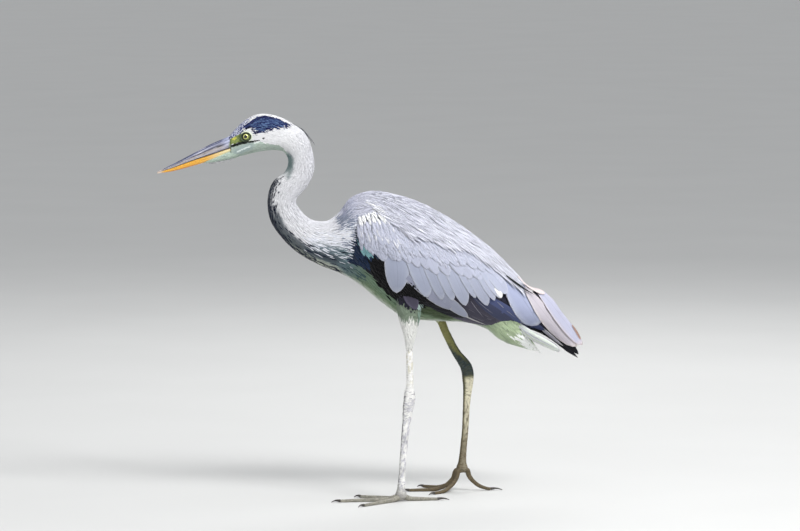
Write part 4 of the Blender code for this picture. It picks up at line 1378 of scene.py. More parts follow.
def make_back_coat():
    """Mantle and scapulars: narrow grey plumes that run back and down over the top of the wings."""
    rng = np.random.default_rng(41)
    coat = Mesh(0.65)
    s, a = strew(BODY, (12.9, 14.6), (-1.6, 1.6), 3.4, 2.3, rng)
    p = BODY.point(s, a)
    count = len(s)
    tint = body_marks(p[:, 0], p[:, 2], s, a) * vary(rng, count, 0.08)[:, None]
    tract(coat, BODY, s, a, tilt(rear(0.1), rng, count, 0.08), 18 * vary(rng, count, 0.2),
          3.0 * vary(rng, count, 0.15), (-1.4, 0.2), tint, shape="lance", droop=0.2)
    for s_range, along, across, long, wide in BACK_TRACTS:
        s, a = strew(CLOAK, s_range, (-1.75, 1.75), along, across, rng)
        p = CLOAK.point(s, a)
        length = long * vary(rng, len(s), 0.22)
        x, z = p[:, 0] + 0.74 * length * MM, p[:, 2] - 0.60 * length * MM
        keep = (z > line_height(x, SHOULDER_LINE)) & (x < BACK_END)
        s, a, x, z, p, length = (v[keep] for v in (s, a, x, z, p, length))
        count = len(s)
        rearward = ramp(p[:, 0], 0.02, 0.12)
        tint = over(np.broadcast_to(MANTLE, (count, 3)), SCAPULAR, rearward) * vary(rng, count, 0.06)[:, None]
        pick = rng.random(count)
        tint = dabbed(tint, pick < 0.16, linear(224, 225, 235))
        tint = dabbed(tint, pick > 0.94, tint * 0.78)
        tint = dabbed(tint, (near_line(x, z, WRIST_LINE) < 3.5) & (pick < 0.9), SPOT_WHITE)
        heading = tilt(bearing(0.76, -0.62, 0.1), rng, count, 0.06)
        tract(coat, CLOAK, s, a, heading, length, wide * vary(rng, count, 0.2), (-1.8, 0.7), tint,
              fringed(tint, 0.3), "lance", thick=0.14, droop=0.3)
    coat.build("coat_back", feather_material("plumage_back", 0.08, 16.0, 0.16), "plumage")


def drape(coat, side, roots, tips, width, bend, lifts, tint, edge, shape="blade", across=BROAD, thick=0.3,
          fringe=0.7, roll=0.5):
    """Adds feathers laid out as seen from the side, from roots to tips in millimetres, on the cloak's
    surface. Each line bows sideways by bend times its length, and each blade rolls so that its front edge
    lies higher than its rear edge, over the feather before it."""
    shares = SHARES[shape]
    share, profile = shares.T
    roots, tips = np.array(roots, float) * MM, np.array(tips, float) * MM
    way = tips - roots
    length = np.linalg.norm(way, axis=1, keepdims=True)
    way = way / length
    beside = np.stack([-way[:, 1], way[:, 0]], 1)
    bow = np.broadcast_to(bend, (len(roots),))[:, None] * length * 4 * share * (1 - share)
    line = roots[:, None] + way[:, None] * (length * share)[..., None] + beside[:, None] * bow[..., None]
    reach = np.reshape(width, (-1, 1, 1)) * MM / 2 * profile[None, :, None] * across
    flat = line[:, :, None] + beside[:, None, None] * reach[..., None]
    s, a = CLOAK.locate(flat[..., 0], flat[..., 1])
    p, _, _, out = CLOAK.frame(s, side * np.clip(a, 0.02, PI - 0.02))
    low, high = (np.reshape(v, (-1, 1)) * MM for v in lifts)
    lift = (low + (high - low) * share + np.zeros((len(roots), 1)))[..., None]
    lift = lift - roll * MM * across * np.minimum(np.reshape(width, (-1, 1, 1)) / 20, 1)
    # Depth is sideways where the surface faces down, so that the lower border stays where the lines put it.
    way_out = unit(np.stack([np.abs(out[..., 1]) + 0.2, np.maximum(out[..., 2], 0)], -1))
    y = side * p[..., 1] + lift * way_out[..., 0]
    p[..., 2] += lift * way_out[..., 1]
    p[..., 1] = side * np.maximum(y, 0.6 * MM + 0.25 * (lift + 7 * MM))
    place = np.stack([s[:, 0, len(across) // 2] / 13, a[:, 0, len(across) // 2] / PI], 1)
    if side < 0:
        p, out = p[:, :, ::-1], out[:, :, ::-1]
    place = 0.03 + 0.94 * np.clip(place, 0, 1)
    add_vanes(coat, p, out, shares, across, 0.0, thick * MM, tint, edge, place, 0.02, fringe)


def between(line, count, rng=None, jitter=0.0):
    """count points along a line of (x, z) corners, by the corners' own order."""
    line = np.array(line, float)
    share = np.linspace(0, len(line) - 1, count)
    made = np.stack([np.interp(share, np.arange(len(line)), line[:, k]) for k in (0, 1)], 1)
    return made if rng is None else made + rng.uniform(-jitter, jitter, made.shape)


def make_wing_coats():
    """Small rounded coverts of each folded wing, white at the wrist and grey behind, and black ones before
    them."""
    for name, side in SIDES.items():
        rng = np.random.default_rng(51)
        coat = Mesh(0.6)
        add_dark_coverts(coat, side, rng)
        add_coverts(coat, side, rng)
        material = feather_material("plumage_wing_" + name, 0.14, 18.0, 0.12)
        coat.build("coat_wing_" + name, material, "wing_plumage")


def add_dark_coverts(coat, side, rng):
    """Black and navy feathers before and below the wing's front edge, with a painted blue-green highlight on
    some.
    """
    s, a = strew(CLOAK, (0.0, 4.0), (0.85, 2.6), 4.0, 3.0, rng)
    p = CLOAK.point(s, a)
    x, z = p[:, 0] + 7 * MM, p[:, 2] - 9 * MM
    black = inside(x, z, BLACK_WEDGE)
    keep = inside(x, z, NAVY_PATCH) | black
    s, a, x, z, black = s[keep], a[keep], x[keep], z[keep], black[keep]
    count = len(s)
    tint = np.where(black[:, None], WEDGE_BLACK, NAVY) * vary(rng, count, 0.4)[:, None]
    tint = dabbed(tint, inside(x, z, TEAL_GLINT_PATCH), TEAL_GLINT * vary(rng, count, 0.1)[:, None])
    tract(coat, CLOAK, s, side * a, tilt(bearing(0.62, -0.78), rng, count, 0.1), 17 * vary(rng, count, 0.2),
          4.6 * vary(rng, count, 0.15), (-4.0, -2.2), tint, tint * 1.3, thick=0.14, droop=0.2, patch=0.004)


def add_coverts(coat, side, rng):
    """Small coverts, larger down the wing, that swing from steep at its front to level behind."""
    s, a = strew(CLOAK, (0.0, 6.6), (0.5, 2.2), 5.4, 4.0, rng, 0.25)
    p = CLOAK.point(s, a)
    x, z = p[:, 0], p[:, 2]
    front = np.interp(z / MM, *np.array(WING_FRONT[::-1], float).T[::-1]) * MM
    top, low = line_height(x, SHOULDER_LINE), line_height(x, GREATER_LINE)
    keep = (x > front - 1 * MM) & (z < top + 12 * MM) & (z > low + 16 * MM) & (x < COVERTS_END)
    s, a, x, z = s[keep], a[keep], x[keep], z[keep]
    down = np.clip((top[keep] - z) / np.maximum(top[keep] - low[keep], 1 * MM), 0, 1)
    count = len(s)
    size = np.interp(down, (0, 1), (0.8, 1.35))
    tint = over(toned(rng, COVERT, count, 0.05), WING_GREY, ramp(down, 0.8, 0.2) * 0.8)
    tint = dabbed(tint, rng.random(count) < 0.12 * ramp(x, 0.08, 0.02), linear(216, 216, 222))
    angle = np.interp(x, (-0.03, 0.05, 0.2), (-1.30, -1.1, -0.85))
    reach = 0.6 * 21 * MM * size
    seen = x + reach * np.cos(angle), z + reach * np.sin(angle)
    white = inside(*seen, WRIST_PATCH) | ((near_line(*seen, WRIST_PATCH) < 2.5) & (rng.random(count) < 0.6))
    tint = dabbed(tint, white, linear(242, 242, 242))
    size = np.where(white, 0.75 * size, size)
    heading = lambda p, along, belly: np.stack([np.cos(angle), 0 * angle, np.sin(angle)], 1)
    tract(coat, CLOAK, s, side * a, tilt(heading, rng, count, 0.09), 23 * size * vary(rng, count, 0.15),
          5.8 * size * vary(rng, count, 0.15), (-2.6, -1.5), tint, fringed(tint, 0.25), thick=0.10,
          droop=0.35, patch=0.005)


# Greater coverts as (root, tip, width).
GREATER_COVERTS = (
    ((21, 412), (31, 325.5), 38), ((44, 402), (78, 319), 31), ((66, 392), (101, 314.5), 23),
    ((84, 387), (118, 313), 22), ((102, 383), (139, 304.5), 27), ((118, 380), (153, 317), 20),
    ((134, 376), (173, 304), 25), ((148, 372), (184, 312), 18), ((160, 368), (194, 315.5), 20),
    ((172, 362), (204, 322), 22),
)
# Rows of median coverts as (line of tips, count, way back to the roots at both ends, width, lifts, fringe's
# share).
MEDIAN_ROWS = (
    (((8, 378), (34, 376), (60, 368), (92, 357), (130, 350), (162, 346), (198, 338)), 13,
     ((-20, 56), (-36, 44)), 23, (-2.9, -2.2), 0.3),
    (((6, 398), (50, 390), (100, 374), (150, 364), (196, 352)), 14,
     ((-14, 42), (-30, 34)), 17, (-2.7, -1.9), 0.25),
)


def add_covert_rows(coat, side, rng):
    """Greater coverts, that hang over the flight feathers, and two rows of median ones over their roots."""
    roots, tips, width = zip(*GREATER_COVERTS)
    n = len(roots)
    # Shorter ones of the same row show between them.
    tint = toned(rng, linear(150, 155, 174), n - 1, 0.04)
    drape(coat, side, between(roots, 2 * n - 1)[1::2], between(tips, 2 * n - 1)[1::2] + (-3, 15), 24.0, 0.03,
          (-4.2, -3.2), tint, fringed(tint, 0.5), "covert", MIDDLING, fringe=0.86, roll=0.2)
    tint = toned(rng, over(linear(150, 156, 175), COVERT, np.linspace(0.2, 1, n)), n, 0.04)
    lifts = np.linspace(-3.4, -2.6, n), np.linspace(-2.0, -1.6, n)
    drape(coat, side, roots, tips, width, 0.03, lifts, tint, fringed(tint, 0.6), "covert",
          fringe=0.86)
    for line, count, back, wide, lifts, pale in MEDIAN_ROWS:
        tips = between(line, count, rng, 2.5)
        tint = toned(rng, over(COVERT, WING_GREY, 0.3), count, 0.06)
        drape(coat, side, tips + between(back, count), tips, wide * vary(rng, count, 0.15), 0.03, lifts, tint,
              fringed(tint, pale), "covert", MIDDLING, fringe=0.88, roll=0.15)
    spot = linear(232, 230, 230)[None]
    drape(coat, side, ((180, 339),), ((195, 316),), 12.0, 0.05, (-2.4, -0.9), spot, spot, "covert", MIDDLING,
          roll=0.2)


# Feathers as (root, tip, width, bow, lift at root and tip, colour, fringe's colour).
TERTIALS = (
    ((196, 350), (228, 285), 22, 0.03, -4.6, -4.2, (58, 56, 66), (92, 88, 96)),
    ((204, 352), (260, 268.5), 47, 0.01, -3.8, -2.9, (160, 166, 192), (206, 208, 220)),
    # This dark feather stands in for the shadow line between the broad feathers above and below it: painted
    # shadow.
    ((252, 318), (304, 256), 24, -0.02, -3.6, -3.4, (70, 72, 92), (150, 150, 164)),
    ((238, 330), (325, 232.5), 25, -0.045, -2.0, -1.4, (188, 182, 190), (222, 212, 208)),
    ((259, 329), (334.5, 234.5), 25, 0.0, -0.8, -0.1, (176, 177, 196), (224, 208, 204)),
    ((318, 266), (331.5, 243), 6.5, 0.05, -0.3, 0.3, (150, 120, 108), (196, 172, 160)),
    ((228, 346), (272, 317), 12, 0.0, 0.2, 0.3, (212, 200, 200), (226, 210, 206)),
)
# Thin pale ones as (root, tip, width, colour).
SLIVERS = (
    ((122, 296), (180, 269.5), 1.8, (186, 184, 184)), ((146, 312), (170, 284), 1.0, (130, 128, 138)),
    ((150, 318), (184, 290), 1.2, (124, 122, 132)), ((186, 312), (222, 282), 1.2, (130, 130, 140)),
)


def add_tertials(coat, side):
    """Broad inner feathers that cover the end of the folded wing, each over the last."""
    roots, tips, width, bow, low, high, tint, edge = zip(*TERTIALS)
    tint, edge = (np.array([linear(*c) for c in colours]) for colours in (tint, edge))
    drape(coat, side, roots, tips, width, bow, (low, high), tint, edge, fringe=0.85)
    # A thin black feather between the back's plumes and the first broad feather: painted shadow that the
    # plumes cast there.
    drape(coat, side, ((204.5, 349),), ((254, 315),), 3.4, -0.02, (1.5, 2.1), BLACK[None], BLACK[None],
          "lance", MIDDLING, thick=0.15)


PRIMARY_TIPS = ((262, 250), (276, 242.5), (290, 234.5), (304, 226), (317, 218), (328.5, 213))
SECONDARY_TIPS = (
    (66, 326), (90, 312), (113, 300), (140, 286.5), (165, 275.5), (181, 269.5), (196, 271), (208, 277),
    (232, 272), (254, 264),
)


def make_quills():
    """Large feathers of each folded wing, from below: primaries, secondaries, alula, rows of coverts,
    tertials."""
    for name, side in SIDES.items():
        rng = np.random.default_rng(61)
        coat = Mesh(0.35)
        add_primaries(coat, side, rng)
        add_secondaries(coat, side, rng)
        add_covert_rows(coat, side, rng)
        add_tertials(coat, side)
        coat.build("quills_" + name, feather_material("quill_" + name, 0.22, 42.0, 0.14, 0.7), "wing_plumage")


def add_primaries(coat, side, rng):
    """Dark inner feathers, black primaries below them, and the pale inner edges that show between."""
    n = 7
    tint = toned(rng, linear(40, 40, 54), n, 0.2)
    drape(coat, side, between(((196, 318), (236, 318)), n), between(((262, 266), (322, 238)), n), 20.0, -0.02,
          (-6.5, -5.5), tint, tint * 1.4, "quill")
    n = 11
    tint = toned(rng, linear(20, 20, 28), n, 0.2)
    drape(coat, side, between(((128, 292), (205, 300)), n), between(PRIMARY_TIPS, n), np.linspace(15, 17, n),
          -0.015, (-7, -5.6), tint, tint * 1.3, "quill", roll=0.25)
    drape(coat, side, ((258, 284),), ((329, 219),), 15.0, 0.02, (-5.3, -4.9), BLACK[None], BLACK[None],
          "covert")
    tint, edge = (toned(rng, linear(*colour), 3, 0.05) for colour in ((214, 212, 218), (232, 230, 232)))
    drape(coat, side, ((248, 264), (258, 263), (266, 264)), ((290, 229), (297, 228), (304, 233)),
          (5.0, 3.6, 6.0), -0.02, (-4.6, -4.2), tint, edge, "lance", MIDDLING, thick=0.15)


def add_secondaries(coat, side, rng):
    """Secondaries, black in front, with a few blue, grey and pale ones over them, and the feathers of the
    alula."""
    n = 15
    tint = toned(rng, linear(66, 64, 78), n, 0.16)
    tint[:6] = BLACK
    tips = between(SECONDARY_TIPS, n, rng, 0.8)
    drape(coat, side, tips + np.array([-92, 48]) * vary(rng, n, 0.06)[:, None], tips, 19.0, -0.03,
          (np.linspace(-6.0, -5.0, n), np.linspace(-5.0, -4.4, n)), tint,
          over(tint, linear(128, 122, 130), 0.35 * (np.arange(n) > 5)), "quill", fringe=0.85, roll=0.3)
    blue = np.array([linear(60, 64, 88), linear(72, 80, 116)])
    drape(coat, side, ((150, 320), (166, 322)), ((222, 272), (273, 259)), (15, 16), -0.03,
          (-4.0, -3.7), blue, blue * 1.1, "quill", fringe=0.85, roll=0.0)
    grey = np.array([linear(146, 149, 168), linear(150, 154, 172)])
    drape(coat, side, ((44, 352), (58, 352)), ((120, 298), (147, 283.5)), (19, 17), 0.0,
          (-2.9, -2.6), grey, over(grey, linear(214, 212, 210), 0.8), "quill", fringe=0.88, roll=0.1)
    roots, tips, width, tint = zip(*SLIVERS)
    tint = np.array([linear(*c) for c in tint])
    drape(coat, side, roots, tips, width, -0.02, (-3.9, -3.7), tint, tint, "lance", MIDDLING, thick=0.15)
    n = 3
    tint = toned(rng, linear(60, 58, 70), n, 0.15)
    drape(coat, side, between(((14, 366), (34, 366)), n), between(((44, 312), (64, 299)), n), 16.0, 0.04,
          (-4.6, -4.0), tint, tint * 1.6, "covert")


# As BACK_TRACTS.
UNDERTAIL_TRACTS = (((20.2, 21.7), 6.0, 4.2, 36, 6.5), ((21.6, 22.3), 5.0, 3.6, 24, 5.5))


def make_tail_coat():
    """Tail feathers under the wings, and the white feathers below them."""
    rng = np.random.default_rng(71)
    coat = Mesh(0.5)
    a = np.concatenate([np.linspace(-2.95, -0.15, 9), np.linspace(0.15, 2.95, 9)])
    n = len(a)
    tint = toned(rng, linear(138, 140, 156), n, 0.12)
    tint = over(tint, linear(216, 224, 212), ramp(np.abs(a), 1.1, 1.6))
    edge = linear(206, 206, 210) + 0 * tint
    tract(coat, TAIL, np.full(n, 0.1), a, rear(), np.interp(np.abs(a), (0, 1.5, 3.1), (122, 112, 108)), 13,
          (-1.5, -0.2), tint, edge, "quill", MIDDLING, thick=0.3, patch=0.02, fringe=0.75)
    for s_range, along, across, long, wide in UNDERTAIL_TRACTS:
        s, a = strew(BODY, s_range, (PI - 1.5, PI + 1.5), along, across, rng)
        count = len(s)
        p = BODY.point(s, a)
        x, z = p[:, 0], p[:, 2]
        tint = body_marks(x, z, s, a) * vary(rng, count, 0.05)[:, None]
        # Feathers are painted bright white in the lit patch and now and then elsewhere; the others keep the
        # vent's painted shade.
        white = rng.random(count) < np.where(inside(x, z, LIT_UNDERTAIL), 1.0, 0.12)
        tint = dabbed(tint, white, linear(250, 252, 250))
        tract(coat, BODY, s, a, tilt(rear(), rng, count, 0.12), long * vary(rng, count, 0.15),
              wide * vary(rng, count, 0.2), (-1.6, 0.8), tint, tint * 1.06, "lance", thick=0.16, droop=0.4)
    coat.build("coat_tail", feather_material("plumage_tail", 0.12, 20.0, 0.13), "plumage")


# Thighs as (last row with feathers, colour, place of its patches on the map).
# The right thigh's white is painted green-grey, as it lies in shade.
THIGH_COATS = {"left": (5.75, (240, 240, 236), 0), "right": (4.6, (176, 180, 150), 0.5)}


def make_thigh_coat():
    """White feathers of the thighs, that end in a ragged edge above the bare leg."""
    rng = np.random.default_rng(81)
    coat = Mesh(0.5)
    for name, (last, white, patch) in THIGH_COATS.items():
        s, a = strew(LEGS[name], (0.0, last), (-PI, PI), 2.8, 1.8, rng)
        count = len(s)
        tint = toned(rng, linear(*white), count, 0.06)
        tint = dabbed(tint, rng.random(count) < 0.12, tint * 0.75)
        p = LEGS[name].point(s, a)
        x, shown = p[:, 0], p[:, 2] - 10 * MM
        ragged = shown + 4 * MM * np.sin(x / (3 * MM))
        # Painted shade: the feathers turn green-grey towards the thigh's top, under the body.
        tint = over(tint, linear(122, 138, 118), ramp(ragged, 0.281, 0.287) * 0.95)
        dark = shown > line_height(x, THIGH_TOP)
        tint = dabbed(tint, dark, toned(rng, linear(40, 40, 52), count, 0.4))
        length = np.interp(s, (0, 3.5, last), (17, 13, 7)) * vary(rng, count, 0.25)
        tract(coat, LEGS[name], s, a, tilt(rear(), rng, count, 0.10), length,
              np.where(dark, 3.6, 2.4) * vary(rng, count, 0.2), (-1.6, 0.1), tint, thick=0.11, droop=0.15,
              place=np.stack([s / 8 + patch, (a / (2 * PI)) % 1.0], 1))
    # A slate feather lies over the left thigh's top, with a little pale down behind it, painted blue-green as
    # it lies in shade with green reflected light.
    tint = linear(60, 57, 70)[None]
    tract(coat, LEGS["left"], np.array([0.6]), np.array([-1.0]), bearing(0.42, -0.9), np.array([40]), 21,
          (0.2, 1.4), tint, tint * 1.6, "covert", BROAD, thick=0.25, patch=0.01,
          place=np.array([[0.95, 0.5]]))
    for count, rows, angles, way, long, wide, lifts, colour in (
        (14, (1.0, 2.0), (-2.6, -1.9), (0.75, -0.66), 9, 4.0, (0.2, 1.9), (146, 166, 160)),
        (12, (2.3, 2.9), (-2.9, -2.2), (0.3, -0.95), 12, 3.4, (0.0, 1.2), (124, 146, 132)),
    ):
        s, a = rng.uniform(*rows, count), rng.uniform(*angles, count)
        tract(coat, LEGS["left"], s, a, tilt(bearing(*way), rng, count, 0.3), long * vary(rng, count, 0.3),
              wide, lifts, toned(rng, linear(*colour), count, 0.12), place=np.stack([s / 8, a / 8 + 0.5], 1))
    coat.build("coat_thighs", feather_material("plumage_thigh", 0.05, 10.0, 0.15), "plumage")


# Layers of colour: share runs from the base to the tip, and down from the ridge to the cutting edge.
UPPER_BILL_LAYERS = (
    ((62, 68, 102), 1, ("down", 0.5, 0.1)),
    ((176, 178, 198), 0.7, ("about", "down", 0.28, 0.09, 0.02), ("share", 0.9, 0.7)),
    ((44, 46, 62), 0.75, ("about", "down", 0.44, 0.07, 0.03), ("share", 0.95, 0.8)),
    ((178, 166, 156), 0.7, ("about", "down", 0.64, 0.11, 0.04)),
    ((214, 192, 176), 0.85, ("share", 0.84, 0.98)),
    ((16, 18, 26), 1, ("about", "down", 0.52, 0.1, 0.03), ("share", 0.05, 0.08), ("share", 0.24, 0.15)),
    ((172, 168, 172), 0.8, ("about", "down", 0.8, 0.09, 0.03), ("share", 0.0, 0.1)),
    ((176, 182, 212), 0.7, ("share", 0.14, 0.02), ("down", 0.9, 0.6)),
    ((100, 116, 66), 0.8, ("share", 0.035, 0.0), ("down", 0.35, 0.6)),
    ((26, 24, 28), 1, ("down", 0.90, 0.96), ("share", 0.99, 0.9)),
)
LOWER_BILL_LAYERS = (
    ((240, 226, 176), 1, ("share", 0.36, 0.05)),
    ((150, 110, 50), 0.6, ("down", 0.82, 0.95)),
    ((206, 112, 34), 0.8, ("down", 0.4, 0.05), ("share", 0.25, 0.55)),
    ((222, 200, 180), 1, ("share", 0.86, 0.95)),
)
# Halves as (columns of the ridge in BILL_ROWS, side of the gap, width's share, power, groove and nostril's
# depth, colour, layers, dark and light streaks, how much they show).
BILL_HALVES = {
    "upper": ((0, 2), 1, 1.0, 0.62, (0.9, 0.9), (106, 104, 118), UPPER_BILL_LAYERS, (30, 32, 44),
              (214, 214, 226), 0.85),
    "lower": ((4, 6), -1, 0.93, 0.55, (0.5, 0), (232, 170, 54), LOWER_BILL_LAYERS, (190, 120, 30),
              (250, 226, 150), 0.45),
}


def make_bill():
    """Upper and lower bill. A section bulges from its outer ridge to its cutting edge as the edge's half
    width times the share of the height to a power, and is closed by a flat inner face."""
    fine = hermite(np.array(BILL_ROWS) * MM, 40, lead=slice(2, 4))
    share = np.linspace(0, 1, len(fine))[:, None]
    down = np.linspace(0, 1, 13)[None, :]
    flat = np.linspace(1, -1, 7)[None, 1:-1]
    for name, (columns, way, thin, power, depths, tint, layers, dark, light, shown) in BILL_HALVES.items():
        gape = fine[:, 2:4] + (0, way * 0.2 * MM)
        half = fine[:, 6:7] * thin
        edge = fine[:, None, slice(*columns)] * (1 - down[..., None]) + gape[:, None] * down[..., None]
        groove = np.exp(-((down - 0.52) / 0.09) ** 2) * ramp(share, 0.62, 0.35)
        nostril = np.exp(-((down - 0.52) / 0.06) ** 2) * ramp(share, 0.05, 0.08) * ramp(share, 0.21, 0.15)
        wide = half * np.sin(down * PI / 2) ** power - (groove * depths[0] + nostril * depths[1]) * MM
        wide = np.maximum(wide, 0)
        left = np.stack([edge[..., 0], -wide, edge[..., 1]], -1)
        palate = np.stack([gape[:, 0:1] + 0 * flat, half * flat * 0.98, gape[:, 1:2] + 0 * flat], -1)
        ring = np.concatenate([left[:, ::-1], left[:, 1:] * (1, -1, 1), palate], axis=1)
        places = {"share": share, "down": np.concatenate([down[:, ::-1], down[:, 1:], 1 + 0 * flat], 1)}
        tints = layered(linear(*tint), layers, places)
        mesh = Mesh()
        add_grid(mesh, ring[:, ::way], tints[:, ::way])
        material = horn_material(name + "_bill_horn", 34.0, linear(*dark), linear(*light), 0.38, shown)
        mesh.build(name + "_bill", material, "bill", ["bill_" + name])


# Rings of the eyeball as (first and last angle from its axis, count): pupil, its edge, iris, white.
EYE_RINGS = ((0.02, 0.40, 8), (0.43, 0.455, 3), (0.49, 0.92, 16), (0.96, 3.1, 24))
EYE_AXIS = (-0.16, 1.0, 0.03)
EYE_LAYERS = (
    ((164, 168, 70), 0.6, ("rays",)),
    ((92, 98, 36), 1, ("angle", 0.66, 0.8)),
    ((8, 8, 10), 1, ("angle", 0.455, 0.43)),
    ((16, 15, 12), 1, ("angle", 0.84, 0.92)),
)


def make_eyes():
    """Eyeballs: a ball whose front bulges a little as the cornea, with a black pupil and a yellow iris round
    it."""
    material, tree, shader = new_material("eye_wet", 0.08, coat=1.0)
    tint = node(tree, "Attribute", attribute_name="tint")
    where = node(tree, "TexCoord", out=3)
    noise = node(tree, "TexNoise", {"Vector": where, "Scale": 1500.0, "Detail": 3.0})
    shade_tint(tree, shader, tint, maths(tree, "MULTIPLY_ADD", noise, 0.5, 0.75))
    angle = np.concatenate([np.linspace(*ring) for ring in EYE_RINGS])[:, None]
    turn = all_round(48)
    reach = EYE_RADIUS * MM * (1 + 0.05 * np.exp(-(angle / 0.7) ** 2))
    rays = 0.5 + 0.5 * np.sin(turn * 31 + 2 * np.sin(turn * 7))
    colour = layered(linear(212, 216, 128), EYE_LAYERS, {"rays": rays, "angle": angle})
    for name, side in SIDES.items():
        axis = unit(np.array(EYE_AXIS) * (1, side, 1))
        first = unit(np.cross(axis, (0, 0, 1)))
        second = np.cross(axis, first)
        ray = (np.cos(angle) * np.ones_like(turn))[..., None] * axis
        ray = ray + (np.sin(angle) * np.cos(turn))[..., None] * first
        ray = ray + (np.sin(angle) * np.sin(turn))[..., None] * second
        mesh = Mesh()
        add_grid(mesh, (np.array(EYE_CENTRE) * (1, side, 1) * MM + ray * reach[..., None])[:, ::-1], colour)
        mesh.build("eyeball_" + name, material, "eye", ["eye_" + name])


def make_claws():
    """Claws: a round horn whose radius shrinks evenly as it bends down to the floor, with a ridge above."""
    material = horn_material("claw_dark", 14.0, linear(14, 13, 13), linear(96, 88, 80), 0.35, 0.6)
    meshes = {"left": Mesh(), "right": Mesh()}
    share = np.linspace(0, 1, 26)[:, None]
    a = all_round(16)
    for name, centres, _, ahead, _, length in toe_lines():
        root = centres[-1] + ahead * 0.4 * MM
        radius = MM * (CLAW_RADIUS[0] + (CLAW_RADIUS[1] - CLAW_RADIUS[0]) * share)
        height = root[2] * (1 - share ** 2) + radius * 0.9 * share ** 2 + MM * np.sin(share * PI)
        middle = root * (1, 1, 0) + share * length * ahead + height * (0, 0, 1)
        p = round_horn(middle, ahead, a, radius * (1 + 0.10 * np.cos(a) - 0.10 * np.abs(np.sin(a))),
                       FLOOR_GAP)
        add_grid(meshes[name], p, np.broadcast_to(linear(52, 46, 42), p.shape))
    for name, mesh in meshes.items():
        mesh.build("claws_" + name, material, "claw", [f"claw_{toe}_{name}" for toe, *_ in TOES])


# Lamps as (name, place, size, share of the main lamp's power).
LAMPS = (("key", (1.3, -1.9, 2.6), 1.1, 1), ("rim", (0.9, 1.9, 2.2), 1.4, 0.35),
         ("side", (-2.4, -2.2, 1.3), 1.8, 0.22))
LAMP_AIM = (0.0, 0.0, 0.35)
SKY_WAY = (-0.35, 0.45, -1.0)
SKY_SPREAD = 70
WORLD_COLOUR = (0.88, 0.91, 0.95, 1)
LENS = 200.0


def add_to_scene(scene, name, data):
    """A new object of the scene."""
    made = bpy.data.objects.new(name, data)
    scene.collection.objects.link(made)
    return made


def make_stage(scene):
    """Pale floor, soft lights and the camera."""
    setup = scene.heron_stage
    half = setup.floor_size / 2
    mesh = bpy.data.meshes.new("floor")
    mesh.from_pydata([(-half, -half, 0), (half, -half, 0), (half, half, 0), (-half, half, 0)], [],
                     [(0, 1, 2, 3)])
    add_to_scene(scene, "floor", mesh)
    material, tree, shader = new_material("floor_paper", 0.85, specular=0.2)
    where = node(tree, "TexCoord", out=3)
    noise = node(tree, "TexNoise", {"Vector": where, "Scale": 3.0, "Detail": 2.0})
    tone = node(tree, "MapRange", {0: noise, 3: 0.97, 4: 1.03})
    shade_tint(tree, shader, (*setup.floor_colour, 1), tone)
    mesh.materials.append(material)
    scene.world = bpy.data.worlds.new("studio")
    scene.world.use_nodes = True
    background = scene.world.node_tree.nodes["Background"].inputs
    background["Color"].default_value = WORLD_COLOUR
    background["Strength"].default_value = setup.fill
    for name, place, size, share in LAMPS:
        light = bpy.data.lights.new(name, "AREA")
        light.size = size
        light.energy = setup.key * share
        lamp = add_to_scene(scene, name, light)
        lamp.location = place
        lamp.rotation_euler = (Vector(LAMP_AIM) - Vector(place)).to_track_quat("-Z", "Y").to_euler()
    sky = bpy.data.lights.new("sky", "SUN")
    sky.energy = setup.sky
    sky.angle = math.radians(SKY_SPREAD)
    add_to_scene(scene, "sky", sky).rotation_euler = Vector(SKY_WAY).to_track_quat("-Z", "Y").to_euler()
    azimuth, elevation = setup.azimuth, setup.elevation
    level = math.cos(elevation)
    back = Vector((math.sin(azimuth) * level, -math.cos(azimuth) * level, math.sin(elevation)))
    camera = bpy.data.cameras.new("camera")
    camera.lens = LENS
    camera.sensor_width = 36.0
    camera.clip_end = 100.0
    viewer = add_to_scene(scene, "camera", camera)
    viewer.location = Vector(setup.aim) + back * setup.distance
    viewer.rotation_euler = back.to_track_quat("Z", "Y").to_euler()
    scene.camera = viewer
    scene.view_settings.view_transform = "Standard"


class HeronStage(bpy.types.PropertyGroup):
    """Settings of the stage."""

    floor_size: FloatProperty(name="Floor", description="Side of the floor", default=60.0, unit="LENGTH")
    floor_colour: FloatVectorProperty(name="Floor colour", description="Colour of the floor",
                                      default=(0.62, 0.62, 0.61), subtype="COLOR", min=0, max=1)
    fill: FloatProperty(name="Fill", description="Strength of the light from all round", default=0.42)
    key: FloatProperty(name="Key", description="Power of the main lamp", default=88.0, unit="POWER")
    sky: FloatProperty(name="Sky", description="Strength of the even light from above", default=0.9)
    azimuth: FloatProperty(name="Azimuth", description="Camera's turn round the bird",
                           default=math.radians(-10), subtype="ANGLE")
    elevation: FloatProperty(name="Elevation", description="Camera's height over the horizon",
                             default=math.radians(5.5), subtype="ANGLE")
    distance: FloatProperty(name="Distance", description="From the aim to the camera", default=6.93,
                            unit="LENGTH")
    aim: FloatVectorProperty(name="Aim", description="Point in the middle of the view",
                             default=(0.044, 0.0, 0.364), subtype="TRANSLATION")


class HERON_OT_stage(bpy.types.Operator):
    """Set up floor, lamps and camera"""

    bl_idname = "heron.stage"
    bl_label = "Stage"

    def execute(self, context):
        make_stage(context.scene)
        return {"FINISHED"}


class HERON_OT_skin(bpy.types.Operator):
    """Make the skin of body, wings, legs and toes"""

    bl_idname = "heron.skin"
    bl_label = "Skin"

    def execute(self, context):
        make_skin()
        return {"FINISHED"}


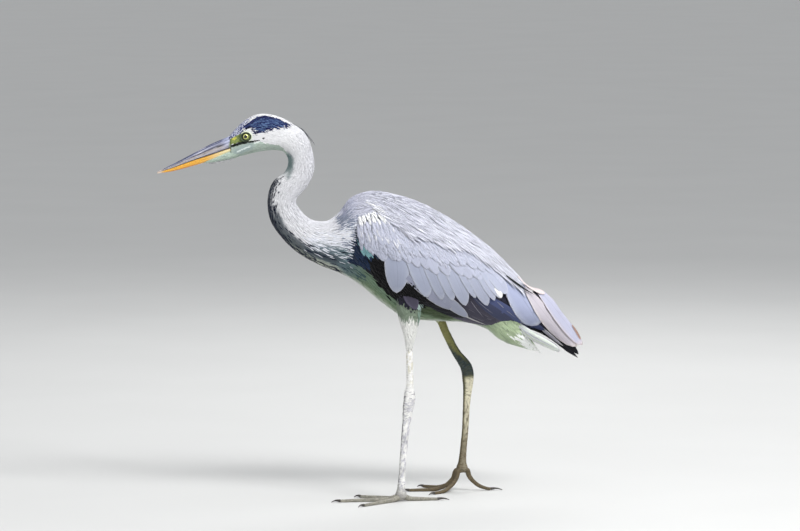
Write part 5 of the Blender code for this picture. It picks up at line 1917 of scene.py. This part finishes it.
class HERON_OT_body_coats(bpy.types.Operator):
    """Make the small feathers of head, neck, breast, back, tail and thighs"""

    bl_idname = "heron.body_coats"
    bl_label = "Body feathers"

    def execute(self, context):
        for make in (make_head_coat, make_neck_coat, make_breast_coat, make_back_coat, make_tail_coat,
                     make_thigh_coat):
            make()
        return {"FINISHED"}


class HERON_OT_wings(bpy.types.Operator):
    """Make the coverts and large feathers of both wings"""

    bl_idname = "heron.wings"
    bl_label = "Wings"

    def execute(self, context):
        make_wing_coats()
        make_quills()
        return {"FINISHED"}


class HERON_OT_bill(bpy.types.Operator):
    """Make the two halves of the bill"""

    bl_idname = "heron.bill"
    bl_label = "Bill"

    def execute(self, context):
        make_bill()
        return {"FINISHED"}


class HERON_OT_eyes(bpy.types.Operator):
    """Make both eyes"""

    bl_idname = "heron.eyes"
    bl_label = "Eyes"

    def execute(self, context):
        make_eyes()
        return {"FINISHED"}


class HERON_OT_claws(bpy.types.Operator):
    """Make the claws of both feet"""

    bl_idname = "heron.claws"
    bl_label = "Claws"

    def execute(self, context):
        make_claws()
        return {"FINISHED"}


class HERON_PT_panel(bpy.types.Panel):
    """Lists the heron's pieces"""

    bl_label = "Grey Heron"
    bl_idname = "HERON_PT_panel"
    bl_space_type = "VIEW_3D"
    bl_region_type = "UI"
    bl_category = "Heron"

    def draw(self, context):
        for operator in OPERATORS:
            self.layout.operator(operator.bl_idname)
        for key in HeronStage.__annotations__:
            self.layout.prop(context.scene.heron_stage, key)


OPERATORS = (HERON_OT_stage, HERON_OT_skin, HERON_OT_body_coats, HERON_OT_wings, HERON_OT_bill, HERON_OT_eyes,
             HERON_OT_claws)
CLASSES = (HeronStage, *OPERATORS, HERON_PT_panel)


def register():
    """Makes the operators, the panel and the stage's settings known to Blender."""
    for item in CLASSES:
        bpy.utils.register_class(item)
    bpy.types.Scene.heron_stage = PointerProperty(type=HeronStage)


def unregister():
    """Takes them away again."""
    del bpy.types.Scene.heron_stage
    for item in reversed(CLASSES):
        bpy.utils.unregister_class(item)


def main():
    """Makes every piece."""
    register()
    for operator in OPERATORS:
        group, name = operator.bl_idname.split(".")
        getattr(getattr(bpy.ops, group), name)()


if __name__ == "__main__":
    main()
